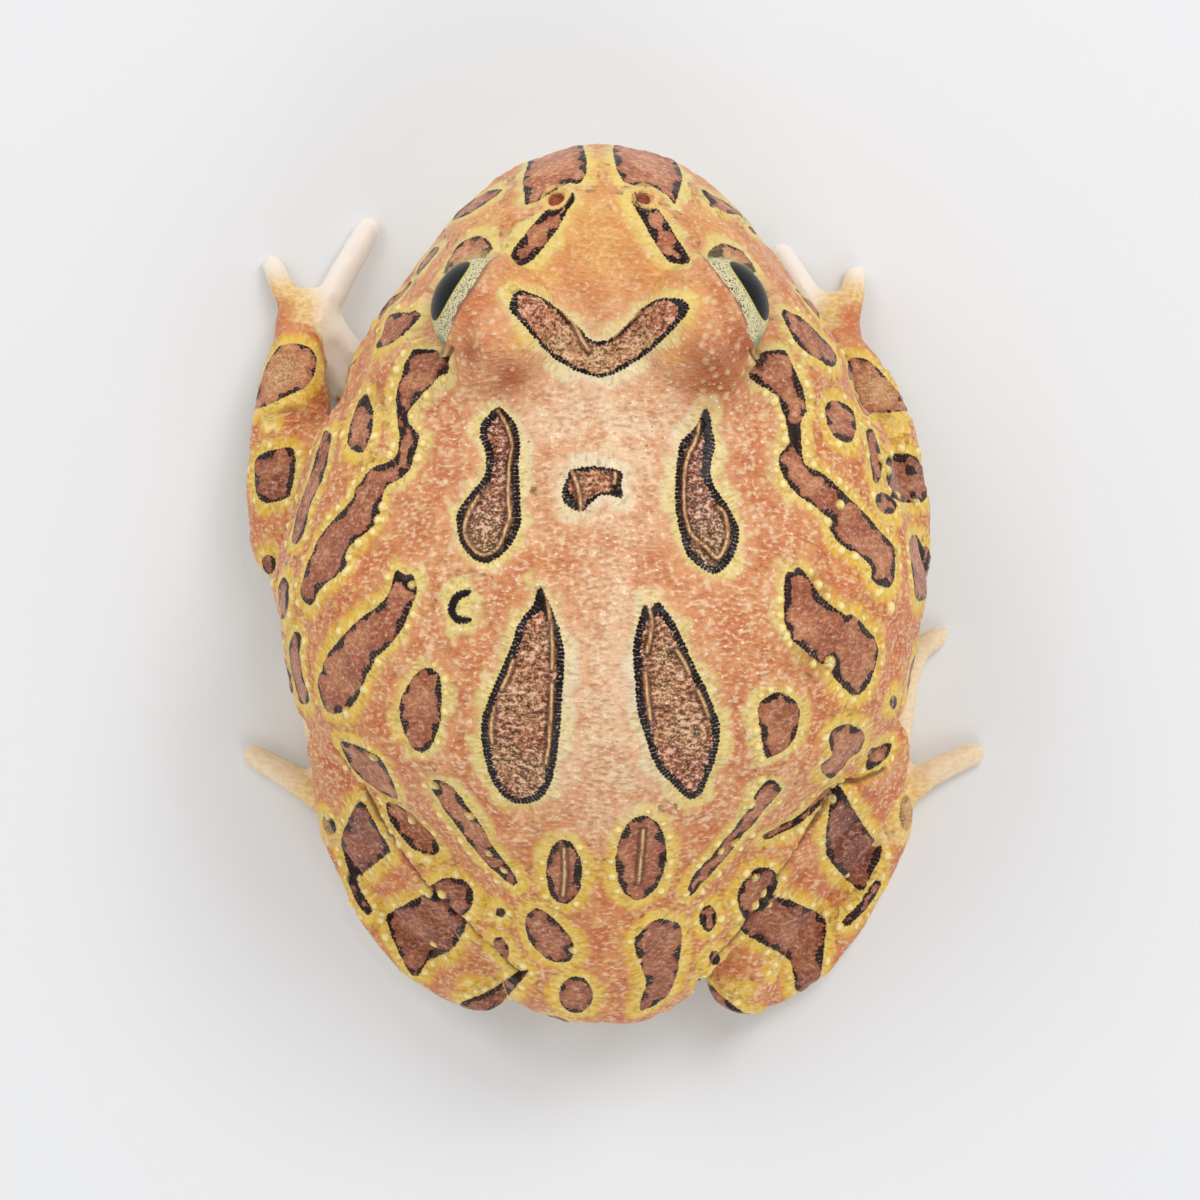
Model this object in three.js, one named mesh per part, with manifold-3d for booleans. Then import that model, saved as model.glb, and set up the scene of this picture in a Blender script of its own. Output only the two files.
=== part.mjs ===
// A horned frog sitting flat on the floor, life size, in millimetres.
// It faces -Y, +X is its own left side, +Z is up and z = 0 is the floor under its belly, hands and feet.
// The head and the trunk are lofted through a few cross sections, limbs and digits are bent capsules,
// and each piece is cut back by its neighbours so that a thin gap stays between them.
import * as THREE from "three";
import { mergeVertices } from "three/addons/utils/BufferGeometryUtils.js";
import Module from "manifold-3d";

const wasm = await Module();
wasm.setup();

// Driving dimensions
const GAP = 0.3;
const FLOOR_REACH = 200;
const EYE_RADIUS = 6.0;
const EYE_PLACE = { x: 12.75, y: -31.8, z: 37.0 };
const GAZE_FORWARD = THREE.MathUtils.degToRad(31);
const LID_TILT = THREE.MathUtils.degToRad(7);
const LID_OFFSET = 2.2;
const LID_PLACE = { x: 10.9, y: -29.4, z: 37.2 };
const LID_RADII = { x: 6.9, y: 7.9, z: 6.6 };
const LID_HORN = [[0.0, 0.4, 2.2, 4.6], [0.9, 1.5, 5.0, 2.6]];
const NOSTRIL_PLACE = { x: 4.9, y: -44.6, z: 33.4 };
const NOSTRIL_RADIUS = 0.8;

// Facets of each kind of piece: columns around it and rows along it
const HEAD_FACETS = [28, 20];
const TRUNK_FACETS = [30, 21];
const LIMB_FACETS = [10, 8];
const PAD_FACETS = [9, 6];
const DIGIT_FACETS = [6, 6];
const EYE_FACETS = [12, 9];
const LID_FACETS = [12, 8];

// Cross sections of the head from the snout to inside the nape: place along the body, half width,
// heights of the crown, the lip line and the throat, and how square the roof is, 2 being an ellipse
const HEAD_SECTIONS = [
  { y: -52.0, half: 0.0, crown: 19.5, lip: 19.5, throat: 19.5, roof: 2.0 },
  { y: -51.3, half: 4.0, crown: 24.4, lip: 19.0, throat: 14.0, roof: 2.0 },
  { y: -49.0, half: 9.5, crown: 29.8, lip: 18.8, throat: 8.8, roof: 2.0 },
  { y: -44.5, half: 14.7, crown: 34.2, lip: 18.5, throat: 5.4, roof: 2.1 },
  { y: -37.6, half: 20.4, crown: 37.6, lip: 17.8, throat: 3.6, roof: 2.4 },
  { y: -30.8, half: 25.5, crown: 39.6, lip: 16.6, throat: 2.8, roof: 2.6 },
  { y: -24.2, half: 28.8, crown: 41.0, lip: 15.2, throat: 2.2, roof: 2.5 },
  { y: -18.0, half: 28.6, crown: 41.3, lip: 14.8, throat: 2.0, roof: 2.3 },
  { y: -12.0, half: 22.0, crown: 37.0, lip: 16.0, throat: 5.0, roof: 2.0 },
  { y: -7.0, half: 0.0, crown: 24.0, lip: 24.0, throat: 24.0, roof: 2.0 },
];
const HEAD_KEEL = 2.0;

// Cross sections of the trunk from inside the head to the vent: half width, heights of the back,
// the widest line and the belly, and how square the belly half is
const TRUNK_SECTIONS = [
  { y: -34.0, half: 0.0, crown: 22.0, lip: 22.0, throat: 22.0, keel: 1.6 },
  { y: -30.0, half: 17.0, crown: 34.0, lip: 20.0, throat: 9.0, keel: 1.6 },
  { y: -25.0, half: 26.5, crown: 38.6, lip: 19.0, throat: 4.0, keel: 1.6 },
  { y: -20.5, half: 31.0, crown: 41.2, lip: 18.5, throat: 1.2, keel: 1.6 },
  { y: -16.0, half: 33.2, crown: 42.8, lip: 18.0, throat: -0.6, keel: 1.7 },
  { y: -9.0, half: 35.0, crown: 45.0, lip: 17.5, throat: -1.4, keel: 1.8 },
  { y: -3.0, half: 37.1, crown: 46.8, lip: 17.0, throat: -1.8, keel: 2.0 },
  { y: 5.0, half: 35.8, crown: 47.9, lip: 16.5, throat: -1.8, keel: 2.1 },
  { y: 12.0, half: 34.3, crown: 47.0, lip: 16.5, throat: -1.8, keel: 2.1 },
  { y: 18.0, half: 30.6, crown: 44.8, lip: 16.5, throat: -1.8, keel: 2.1 },
  { y: 24.0, half: 23.0, crown: 41.0, lip: 16.5, throat: -1.6, keel: 2.0 },
  { y: 30.0, half: 16.8, crown: 36.4, lip: 16.5, throat: -1.4, keel: 1.9 },
  { y: 38.0, half: 12.6, crown: 29.2, lip: 16.0, throat: 0.0, keel: 1.9 },
  { y: 45.0, half: 10.4, crown: 22.6, lip: 15.5, throat: 4.0, keel: 2.0 },
  { y: 48.0, half: 6.0, crown: 19.6, lip: 15.2, throat: 9.5, keel: 2.1 },
  { y: 49.0, half: 0.0, crown: 15.2, lip: 15.2, throat: 15.2, keel: 2.1 },
];
const TRUNK_ROOF = 2.15;

// Side view of the mouth line: snout, middle of the lip, in front of the corner, and the corner itself
const MOUTH_LINE = [
  [-54, 19.6],
  [-44, 18.6],
  [-32, 16.2],
  [-21, 11.2],
];
const JAW_HINGE = [-13, -6];

// Middle lines of the limbs on each side: x, y, z and the radius there, with x counted outwards
const LIMBS = {
  left: {
    upper_arm: [[26.2, -17.2, 11.2, 6.4], [31.4, -11.5, 9.6, 5.9], [34.8, -6.2, 8.6, 5.0]],
    forearm: [[35.0, -6.2, 8.2, 4.8], [35.9, -14.5, 8.0, 4.9], [35.4, -23.1, 6.8, 4.3], [35.2, -29.2, 4.6, 2.9]],
    palm: [[34.9, -29.8, 3.0, 3.1], [33.9, -32.4, 2.3, 4.0]],
    fingers: [
      [[32.6, -30.8, 2.2, 1.6], [31.2, -27.2, 1.6, 1.4], [29.8, -23.8, 1.1, 1.2]],
      [[31.8, -32.6, 2.4, 1.7], [29.8, -30.0, 1.8, 1.5], [27.6, -27.4, 1.1, 1.3]],
      [[32.0, -34.0, 2.8, 1.7], [29.6, -38.6, 2.2, 1.5], [27.0, -43.4, 1.2, 1.35]],
      [[35.4, -33.4, 2.4, 1.6], [37.0, -36.4, 1.8, 1.3], [38.2, -39.1, 1.1, 1.2]],
    ],
    thigh: [[5.6, 37.6, 16.6, 8.2], [12.2, 28.9, 18.2, 9.2], [20.2, 21.6, 17.0, 8.6], [26.6, 17.6, 13.8, 7.0]],
    shank: [[27.6, 20.0, 10.6, 6.0], [23.0, 27.0, 10.0, 6.4], [18.3, 32.6, 9.5, 6.2], [14.2, 38.6, 8.4, 5.2],
      [13.8, 43.6, 6.6, 4.2]],
    tarsus: [[15.6, 44.2, 3.4, 3.3], [20.5, 40.8, 3.3, 3.5], [24.6, 35.8, 3.2, 3.5], [27.6, 29.8, 3.0, 3.4],
      [29.4, 25.4, 2.6, 3.6]],
    toes: [
      [[27.6, 23.4, 1.8, 1.5], [26.6, 21.0, 1.5, 1.3], [25.8, 19.0, 1.1, 1.1]],
      [[28.4, 22.6, 1.9, 1.6], [28.4, 18.6, 1.6, 1.4], [28.6, 15.0, 1.1, 1.2]],
      [[29.4, 22.4, 2.0, 1.7], [30.6, 16.6, 1.7, 1.4], [31.4, 11.2, 1.1, 1.2]],
      [[30.6, 22.6, 2.0, 1.8], [33.0, 15.0, 1.8, 1.5], [34.2, 7.8, 1.1, 1.3]],
      [[31.4, 23.8, 2.0, 1.7], [36.0, 20.6, 1.8, 1.5], [40.6, 18.1, 1.1, 1.25]],
    ],
  },
  right: {
    upper_arm: [[26.0, -16.6, 10.8, 6.4], [30.6, -11.0, 9.4, 5.9], [33.2, -5.2, 8.6, 5.0]],
    forearm: [[33.4, -4.4, 8.2, 4.8], [33.0, -12.5, 8.0, 4.9], [30.6, -22.6, 6.8, 4.3], [28.0, -28.6, 4.6, 2.9]],
    palm: [[27.6, -29.4, 3.0, 3.0], [26.6, -32.4, 2.2, 3.5]],
    fingers: [
      [[25.6, -30.2, 2.2, 1.6], [24.0, -26.8, 1.6, 1.4], [22.6, -23.6, 1.1, 1.2]],
      [[24.8, -31.8, 2.4, 1.7], [22.4, -29.6, 1.8, 1.5], [20.0, -27.4, 1.1, 1.3]],
      [[25.4, -33.4, 2.6, 1.7], [23.2, -37.0, 2.0, 1.5], [21.2, -40.4, 1.2, 1.3]],
      [[28.6, -32.6, 2.4, 1.6], [29.4, -35.6, 1.9, 1.4], [29.7, -37.8, 1.2, 1.25]],
    ],
    thigh: [[6.6, 37.0, 16.6, 8.2], [12.9, 28.2, 18.2, 9.2], [21.2, 20.8, 17.0, 8.6], [28.2, 16.8, 13.8, 7.0]],
    shank: [[29.2, 19.4, 11.0, 6.1], [24.2, 26.4, 10.2, 6.6], [19.8, 32.2, 9.6, 6.4], [16.6, 38.6, 8.4, 5.4],
      [16.4, 43.8, 6.6, 4.2]],
    tarsus: [[18.6, 44.4, 3.4, 3.3], [23.8, 41.0, 3.3, 3.5], [27.6, 36.3, 3.2, 3.5], [30.9, 30.5, 3.0, 3.4],
      [33.0, 25.2, 2.6, 3.6]],
    toes: [
      [[30.0, 23.0, 1.8, 1.5], [28.6, 20.6, 1.5, 1.3], [27.6, 18.6, 1.1, 1.1]],
      [[31.0, 22.2, 1.9, 1.6], [30.4, 18.2, 1.6, 1.4], [30.2, 14.4, 1.1, 1.2]],
      [[32.4, 22.0, 2.0, 1.7], [32.6, 16.0, 1.7, 1.4], [32.8, 10.4, 1.1, 1.2]],
      [[33.8, 21.8, 2.0, 1.8], [35.2, 12.6, 1.8, 1.5], [36.6, 6.4, 1.4, 1.3], [39.8, 4.0, 1.1, 1.15]],
      [[34.6, 23.2, 2.0, 1.7], [38.8, 20.0, 1.8, 1.5], [43.8, 17.9, 1.1, 1.25]],
    ],
  },
};
const SIDE_SIGN = { left: 1, right: -1 };
const PAD_FLATNESS = 0.72;

// Colours of the plain materials
const SKIN_COLOUR = 0xd98c45;
const LID_COLOUR = 0xd5803c;
const JAW_COLOUR = 0xe8b45c;
const DIGIT_COLOUR = 0xecc9a6;
const EYE_COLOUR = 0x1c1a18;

// A closed mesh as a solid that can be joined and cut
function solidOf(geometry) {
  geometry.deleteAttribute("normal");
  geometry.deleteAttribute("uv");
  const merged = mergeVertices(geometry, 1e-4);
  const vertProperties = new Float32Array(merged.attributes.position.array);
  const triVerts = new Uint32Array(merged.index.array);
  return new wasm.Manifold(new wasm.Mesh({ numProp: 3, vertProperties, triVerts }));
}

// The largest body of a solid, without the slivers that a cut can leave
function mainBody(solid) {
  return solid.decompose().reduce((best, body) => (body.volume() > best.volume() ? body : best));
}

function geometryOf(solid) {
  const { vertProperties, triVerts } = solid.getMesh();
  const geometry = new THREE.BufferGeometry();
  geometry.setAttribute("position", new THREE.BufferAttribute(vertProperties, 3));
  geometry.setIndex(new THREE.BufferAttribute(triVerts, 1));
  geometry.computeVertexNormals();
  return geometry;
}

// A ball whose every point is placed by a rule: how far it is from the first pole to the second (0 to 1),
// and its direction around the axis as an upward and a sideways part
function shapedBall([columns, rows], rule) {
  const geometry = new THREE.SphereGeometry(1, columns, rows);
  const points = geometry.attributes.position;
  const point = new THREE.Vector3();
  for (let i = 0; i < points.count; i += 1) {
    point.fromBufferAttribute(points, i);
    const share = Math.acos(THREE.MathUtils.clamp(point.y, -1, 1)) / Math.PI;
    const ring = Math.hypot(point.x, point.z) || 1;
    const placed = rule(share, point.x / ring, point.z / ring);
    points.setXYZ(i, placed.x, placed.y, placed.z);
  }
  return solidOf(geometry);
}

// A smooth line through values at places along the body; the places are spread as on a ball, so that
// a blunt end closes roundly
function smoothLine(sections, key, first, last) {
  const shares = sections.map(({ y }) => Math.acos(1 - (2 * (y - first)) / (last - first)) / Math.PI);
  const values = sections.map((section) => section[key]);
  const line = new THREE.CubicInterpolant(shares, values, 1);
  return (share) => line.evaluate(share)[0];
}

// Part of an oval section, from 0 at its side to 1 at its top, for a given squareness
function ovalPart(direction, squareness) {
  return Math.sign(direction) * Math.abs(direction) ** (2 / squareness);
}

// A body lofted through its sections, grown outwards by a distance
function loftedBody(facets, sections, roofOf, keelOf, grown) {
  const first = sections[0].y;
  const last = sections[sections.length - 1].y;
  const line = (key) => smoothLine(sections, key, first, last);
  const [half, crown, lip, throat] = ["half", "crown", "lip", "throat"].map(line);
  const roof = roofOf(line);
  const keel = keelOf(line);
  const middle = (first + last) / 2;
  const stretch = 1 + (2 * grown) / (last - first);
  return shapedBall(facets, (share, up, out) => {
    const y = (first + last) / 2 - (Math.cos(share * Math.PI) * (last - first)) / 2;
    const squareness = up > 0 ? roof(share) : keel(share);
    const rise = up > 0 ? crown(share) - lip(share) : lip(share) - throat(share);
    return new THREE.Vector3(
      ovalPart(out, squareness) * (Math.max(half(share), 0) + grown),
      middle + (y - middle) * stretch,
      lip(share) + ovalPart(up, squareness) * (Math.max(rise, 0) + grown),
    );
  });
}

function headLoft(grown) {
  return loftedBody(HEAD_FACETS, HEAD_SECTIONS, (line) => line("roof"), () => () => HEAD_KEEL, grown);
}

function trunkLoft(grown) {
  return loftedBody(TRUNK_FACETS, TRUNK_SECTIONS, () => () => TRUNK_ROOF, (line) => line("keel"), grown);
}

// A capsule bent along its middle line, with round ends, grown outwards by a distance
function bentCapsule(path, side, facets, grown = 0, flatness = 1) {
  const sign = SIDE_SIGN[side];
  const curve = new THREE.CatmullRomCurve3(path.map(([x, y, z]) => new THREE.Vector3(sign * x, y, z)));
  const radii = new THREE.CubicInterpolant(path.map((_, i) => i / (path.length - 1)), path.map((p) => p[3]), 1);
  const radiusAt = (t) => radii.evaluate(THREE.MathUtils.clamp(t, 0, 1))[0] + grown;
  const length = curve.getLength();
  const startCap = radiusAt(0);
  const endCap = radiusAt(1);
  const whole = startCap + length + endCap;
  const sideways = new THREE.Vector3();
  const upwards = new THREE.Vector3();
  return shapedBall(facets, (share, up, out) => {
    const along = ((1 - Math.cos(share * Math.PI)) / 2) * whole - startCap;
    const t = THREE.MathUtils.clamp(along / length, 0, 1);
    const beyond = along < 0 ? -along / startCap : Math.max(along - length, 0) / endCap;
    const radius = radiusAt(t) * Math.sqrt(Math.max(1 - beyond * beyond, 0));
    const tangent = curve.getTangent(t);
    sideways.crossVectors(tangent, new THREE.Vector3(0, 0, 1)).normalize();
    upwards.crossVectors(sideways, tangent);
    return curve.getPoint(t)
      .addScaledVector(tangent, along < 0 ? along : Math.max(along - length, 0))
      .addScaledVector(sideways, out * radius)
      .addScaledVector(upwards, up * radius * flatness);
  });
}

// A block that fills everything beyond a plane
function blockBeyond(point, normal) {
  const block = new THREE.BoxGeometry(FLOOR_REACH, FLOOR_REACH, FLOOR_REACH);
  block.translate(0, 0, FLOOR_REACH / 2);
  block.applyQuaternion(new THREE.Quaternion().setFromUnitVectors(new THREE.Vector3(0, 0, 1), normal));
  block.translate(point.x, point.y, point.z);
  return solidOf(block);
}

const underFloor = blockBeyond(new THREE.Vector3(0, 0, 0), new THREE.Vector3(0, 0, -1));

// The eyeball and the upper eyelid over it
function eyeCentre(side) {
  return new THREE.Vector3(SIDE_SIGN[side] * EYE_PLACE.x, EYE_PLACE.y, EYE_PLACE.z);
}

function ball(centre, radii, facets) {
  const geometry = new THREE.SphereGeometry(1, ...facets);
  geometry.rotateX(Math.PI / 2);
  geometry.scale(radii.x, radii.y, radii.z);
  geometry.translate(centre.x, centre.y, centre.z);
  return solidOf(geometry);
}

function eyeBall(side, grown) {
  const radius = EYE_RADIUS + grown;
  return ball(eyeCentre(side), { x: radius, y: radius, z: radius }, EYE_FACETS);
}

// The lid is a dome with a small blunt horn, open beyond a steep plane that faces the way the eye looks
function eyelid(side, grown) {
  const sign = SIDE_SIGN[side];
  const place = { x: sign * LID_PLACE.x, y: LID_PLACE.y, z: LID_PLACE.z };
  const radii = { x: LID_RADII.x + grown, y: LID_RADII.y + grown, z: LID_RADII.z + grown };
  const horn = LID_HORN.map(([x, y, z, radius]) => [LID_PLACE.x + x, LID_PLACE.y + y, LID_PLACE.z + z, radius]);
  const outlook = new THREE.Vector3(
    sign * Math.cos(GAZE_FORWARD) * Math.cos(LID_TILT),
    -Math.sin(GAZE_FORWARD) * Math.cos(LID_TILT),
    -Math.sin(LID_TILT),
  );
  const edge = eyeCentre(side).addScaledVector(outlook, LID_OFFSET + grown);
  return ball(place, radii, LID_FACETS)
    .add(bentCapsule(horn, side, DIGIT_FACETS, grown))
    .subtract(blockBeyond(edge, outlook))
    .subtract(eyeBall(side, GAP - grown));
}

// A short pit for each nostril
function nostril(side) {
  const pit = new THREE.SphereGeometry(NOSTRIL_RADIUS, 8, 6);
  pit.scale(1, 1.3, 1.5);
  pit.translate(SIDE_SIGN[side] * NOSTRIL_PLACE.x, NOSTRIL_PLACE.y, NOSTRIL_PLACE.z);
  return solidOf(pit);
}

// The room below the mouth line, drawn in side view and pushed across the whole width
function jawRoom(grown) {
  const outline = new THREE.Shape();
  const [start, ...rest] = MOUTH_LINE;
  outline.moveTo(start[0], -GAP);
  outline.lineTo(start[0], start[1] + grown);
  outline.splineThru(rest.map(([y, z]) => new THREE.Vector2(y + grown, z + grown)));
  outline.lineTo(JAW_HINGE[0] + grown, JAW_HINGE[1]);
  outline.lineTo(start[0], JAW_HINGE[1]);
  const room = new THREE.ExtrudeGeometry(outline, { depth: FLOOR_REACH, bevelEnabled: false, curveSegments: 4 });
  room.translate(0, 0, -FLOOR_REACH / 2);
  room.rotateX(Math.PI / 2);
  room.rotateZ(Math.PI / 2);
  return solidOf(room);
}

// Head, jaw and trunk
const SIDES = ["left", "right"];
const wholeHead = headLoft(0);
let head = wholeHead.subtract(jawRoom(GAP));
for (const side of SIDES) {
  head = head.subtract(eyeBall(side, GAP)).subtract(eyelid(side, GAP)).subtract(nostril(side));
}
const lowerJaw = wholeHead.intersect(jawRoom(0));
const headRoom = headLoft(GAP);
const trunk = trunkLoft(0).subtract(headRoom).subtract(underFloor);
const bodyRoom = trunkLoft(GAP).add(headRoom);

// Limbs: the pieces nearer the trunk give way to those further out where they fold together
function armPieces(side) {
  const arm = LIMBS[side];
  const forearmRoom = bentCapsule(arm.forearm, side, LIMB_FACETS, GAP);
  const palm = bentCapsule(arm.palm, side, PAD_FACETS, 0, PAD_FLATNESS);
  const hand = arm.fingers.reduce((sum, finger) => sum.add(bentCapsule(finger, side, DIGIT_FACETS)), palm);
  return {
    upper_arm: bentCapsule(arm.upper_arm, side, LIMB_FACETS).subtract(forearmRoom),
    forearm: bentCapsule(arm.forearm, side, LIMB_FACETS),
    hand: hand.subtract(forearmRoom),
  };
}

function legPieces(side) {
  const leg = LIMBS[side];
  const shankRoom = bentCapsule(leg.shank, side, LIMB_FACETS, GAP);
  const thighRoom = bentCapsule(leg.thigh, side, LIMB_FACETS, GAP);
  const tarsus = bentCapsule(leg.tarsus, side, LIMB_FACETS);
  const foot = leg.toes.reduce((sum, toe) => sum.add(bentCapsule(toe, side, DIGIT_FACETS)), tarsus);
  return {
    thigh: bentCapsule(leg.thigh, side, LIMB_FACETS).subtract(shankRoom),
    shank: bentCapsule(leg.shank, side, LIMB_FACETS),
    foot: foot.subtract(shankRoom).subtract(thighRoom),
  };
}

// Each piece becomes a mesh that is placed at its own root
const frog = new THREE.Group();

function addPiece(parent, name, solid, root, colour, roughness) {
  const geometry = geometryOf(mainBody(solid));
  geometry.translate(-root.x, -root.y, -root.z);
  const material = new THREE.MeshStandardMaterial({ color: colour, roughness, metalness: 0 });
  const mesh = new THREE.Mesh(geometry, material);
  mesh.name = name;
  mesh.position.copy(root);
  parent.add(mesh);
}

addPiece(frog, "head", head, new THREE.Vector3(0, -30, 20), SKIN_COLOUR, 0.45);
addPiece(frog, "lower_jaw", lowerJaw, new THREE.Vector3(0, -20, 10), JAW_COLOUR, 0.5);
addPiece(frog, "trunk", trunk, new THREE.Vector3(0, 0, 20), SKIN_COLOUR, 0.45);

for (const side of SIDES) {
  const half = new THREE.Group();
  const pieces = { ...armPieces(side), ...legPieces(side) };
  for (const [part, solid] of Object.entries(pieces)) {
    const path = LIMBS[side][part] ?? LIMBS[side][part === "hand" ? "palm" : "tarsus"];
    const root = new THREE.Vector3(SIDE_SIGN[side] * path[0][0], path[0][1], path[0][2]);
    const colour = part === "hand" || part === "foot" ? DIGIT_COLOUR : SKIN_COLOUR;
    addPiece(half, `${side}_${part}`, solid.subtract(bodyRoom).subtract(underFloor), root, colour, 0.45);
  }
  addPiece(half, `${side}_eyelid`, eyelid(side, 0), eyeCentre(side), LID_COLOUR, 0.45);
  addPiece(half, `${side}_eye`, eyeBall(side, 0), eyeCentre(side), EYE_COLOUR, 0.05);
  frog.add(half);
}

// The origin is the middle of the box around the whole frog, on the floor
const box = new THREE.Box3().setFromObject(frog);
const centre = box.getCenter(new THREE.Vector3());
frog.position.set(-centre.x, -centre.y, -box.min.z);

export default frog;
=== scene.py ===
# %% [markdown]
# A horned frog seen from straight above, as a life-size still model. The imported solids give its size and
# pose. This script lays one living skin over them, with folds, warts and markings, sets two glossy eyes
# into it, and lights it softly on a pale floor.

# %% Frame and tools
import bpy
import bmesh
import math

import numpy as np
from mathutils import Matrix, Vector
from mathutils.bvhtree import BVHTree
from mathutils.kdtree import KDTree


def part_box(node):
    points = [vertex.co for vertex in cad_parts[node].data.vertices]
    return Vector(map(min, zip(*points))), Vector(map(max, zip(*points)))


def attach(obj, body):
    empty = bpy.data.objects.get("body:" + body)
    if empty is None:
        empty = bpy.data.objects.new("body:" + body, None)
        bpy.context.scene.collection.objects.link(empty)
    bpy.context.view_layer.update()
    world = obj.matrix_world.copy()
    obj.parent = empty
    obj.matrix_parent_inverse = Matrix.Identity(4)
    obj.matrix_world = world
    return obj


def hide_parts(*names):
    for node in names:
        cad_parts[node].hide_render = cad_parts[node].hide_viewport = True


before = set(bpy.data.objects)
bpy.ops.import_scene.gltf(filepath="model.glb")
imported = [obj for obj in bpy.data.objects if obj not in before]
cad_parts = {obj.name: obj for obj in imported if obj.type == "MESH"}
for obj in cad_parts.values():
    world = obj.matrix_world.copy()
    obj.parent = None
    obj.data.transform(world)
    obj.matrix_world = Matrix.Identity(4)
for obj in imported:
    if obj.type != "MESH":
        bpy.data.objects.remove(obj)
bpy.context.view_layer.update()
MM = 0.001
rng = np.random.default_rng(7)
print("frame:", len(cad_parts), "nodes")

# %% [markdown]
# The photograph is a view straight down with the snout at the top of the picture. Places on the frog are
# read in its pixels, so the first tool turns a pixel into a ray and a point on the skin into a pixel. The
# eyes tie the picture to the solids: their middle lies a known distance in front of the picture's centre.

# %% Picture and frame
PICTURE = 1200
CENTRE = PICTURE / 2
CAMERA_HEIGHT = 650.0
PIXELS_AT_UNIT = 5563.0
EYES_BEFORE_CENTRE = 31.8
SENSOR = 36.0

def eye_centre(side):
    low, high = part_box(f"{side}_eye")
    return np.array((low + high) / 2) / MM

EYES = {side: eye_centre(side) for side in ("left", "right")}
EYE_RADIUS = (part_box("left_eye")[1].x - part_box("left_eye")[0].x) / 2 / MM
shift = (EYES["left"] + EYES["right"]) / 2
ORIGIN = np.array([shift[0], shift[1] + EYES_BEFORE_CENTRE, CAMERA_HEIGHT])

def to_pixels(points):
    """Where points of the frame, in mm, fall in the picture."""
    scale = PIXELS_AT_UNIT / (CAMERA_HEIGHT - points[:, 2])
    return np.stack([CENTRE - scale * (points[:, 0] - ORIGIN[0]),
                     CENTRE + scale * (points[:, 1] - ORIGIN[1])], axis=1)

def pixel_ray(u, v):
    return Vector(((CENTRE - u) / PIXELS_AT_UNIT, (v - CENTRE) / PIXELS_AT_UNIT, -1.0)).normalized()

print("picture centre in the frame, mm:", ORIGIN.round(2))

# %% [markdown]
# A mesh is worked on as tables of numbers: its points and normals in mm, and the pairs of points that its
# edges join. Small tools read them and write them back, and fade, blur or ripple a value over them.

# %% Reading and moving points
IRON = 0.6
SWELL_BACK = -0.62
WAVE_LENGTHS = (0.6, 1.5)

def points_of(mesh):
    values = np.empty(len(mesh.vertices) * 3)
    mesh.vertices.foreach_get("co", values)
    return values.reshape(-1, 3) / MM

def normals_of(mesh):
    values = np.empty(len(mesh.vertices) * 3)
    mesh.vertex_normals.foreach_get("vector", values)
    return values.reshape(-1, 3)

def put_points(mesh, points):
    mesh.vertices.foreach_set("co", (points * MM).ravel())
    mesh.update()

def edges_of(mesh):
    values = np.empty(len(mesh.edges) * 2, dtype=np.int32)
    mesh.edges.foreach_get("vertices", values)
    return values.reshape(-1, 2)

def smooth_step(value, low, high):
    share = np.clip((value - low) / (high - low), 0, 1)
    return share * share * (3 - 2 * share)

def bell(value, width):
    return np.exp(-(value / width) ** 2)

def average(values, edges):
    """The mean of each point's neighbours."""
    a, b = edges.T
    count = np.bincount(edges.ravel(), minlength=len(values))
    total = [np.bincount(a, column[b], len(values)) + np.bincount(b, column[a], len(values))
             for column in values.T]
    return np.stack(total, axis=1) / count[:, None]

def relax(points, edges, rounds, strength):
    """Irons a surface out; every second round swells it back, so that it doesn't shrink."""
    for step in range(rounds):
        move = average(points, edges) - points
        points = points + move * ((SWELL_BACK if step % 2 else IRON) * strength)[:, None]
    return points

def waves(places, length, seed, count=26):
    """Smooth random relief, from about -1 to 1, with bumps about `length` mm across."""
    random = np.random.default_rng(seed)
    ways = random.normal(size=(count, 3))
    sizes = np.linalg.norm(ways, axis=1)[:, None]
    ways *= 2 * math.pi / length * random.uniform(*WAVE_LENGTHS, (count, 1)) / sizes
    starts = random.uniform(0, 6.3, count)
    total = sum(np.sin(places @ way + start) for way, start in zip(ways, starts))
    return total / math.sqrt(count)

def body_places(points):
    """Places as the solids were drawn: x from the middle line, y from the picture's centre."""
    return points - np.array([ORIGIN[0], ORIGIN[1], 0])

print("left eye in the picture:", to_pixels(EYES["left"][None]).round(0))

# %% [markdown]
# The body is soft flesh, so its solids are only a start. They are swollen until the thin gaps between them
# close, melted into one surface on a grid, and ironed out so that the joints between them run out. One
# round of subdivision then gives points fine enough for warts and wrinkles.

# %% One skin from the solids
VOXEL = 0.62
SWELL = 0.24
EYE_SWELL = 0.55
TIP_TRIM = 0.8
IRONING_ROUNDS = 56
HAND_HEIGHTS = (7.0, 4.0)
EYE_ZONE = (8.5, 13.0)

def finished(bm, name):
    """Turns a bmesh into a named mesh and frees it."""
    mesh = bpy.data.meshes.new(name)
    bm.to_mesh(mesh)
    bm.free()
    return mesh

def placed(data):
    """Puts a mesh, a light or a camera into the scene as an object of the same name, at the origin."""
    piece = bpy.data.objects.new(data.name, data)
    bpy.context.scene.collection.objects.link(piece)
    return piece

def merged_copy(node, swell):
    bm = bmesh.new()
    bm.from_mesh(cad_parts[node].data)
    bmesh.ops.remove_doubles(bm, verts=bm.verts, dist=0.002 * MM)
    bm.normal_update()
    for vert in bm.verts:
        vert.co += vert.normal * swell * MM
    return finished(bm, node)

def worked_in(body, kind, **settings):
    """Gives the object the mesh that one modifier makes of it."""
    modifier = body.modifiers.new(kind.lower(), kind)
    for name, value in settings.items():
        setattr(modifier, name, value)
    graph = bpy.context.evaluated_depsgraph_get()
    mesh = bpy.data.meshes.new_from_object(body.evaluated_get(graph))
    body.modifiers.clear()
    body.data = mesh

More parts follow.
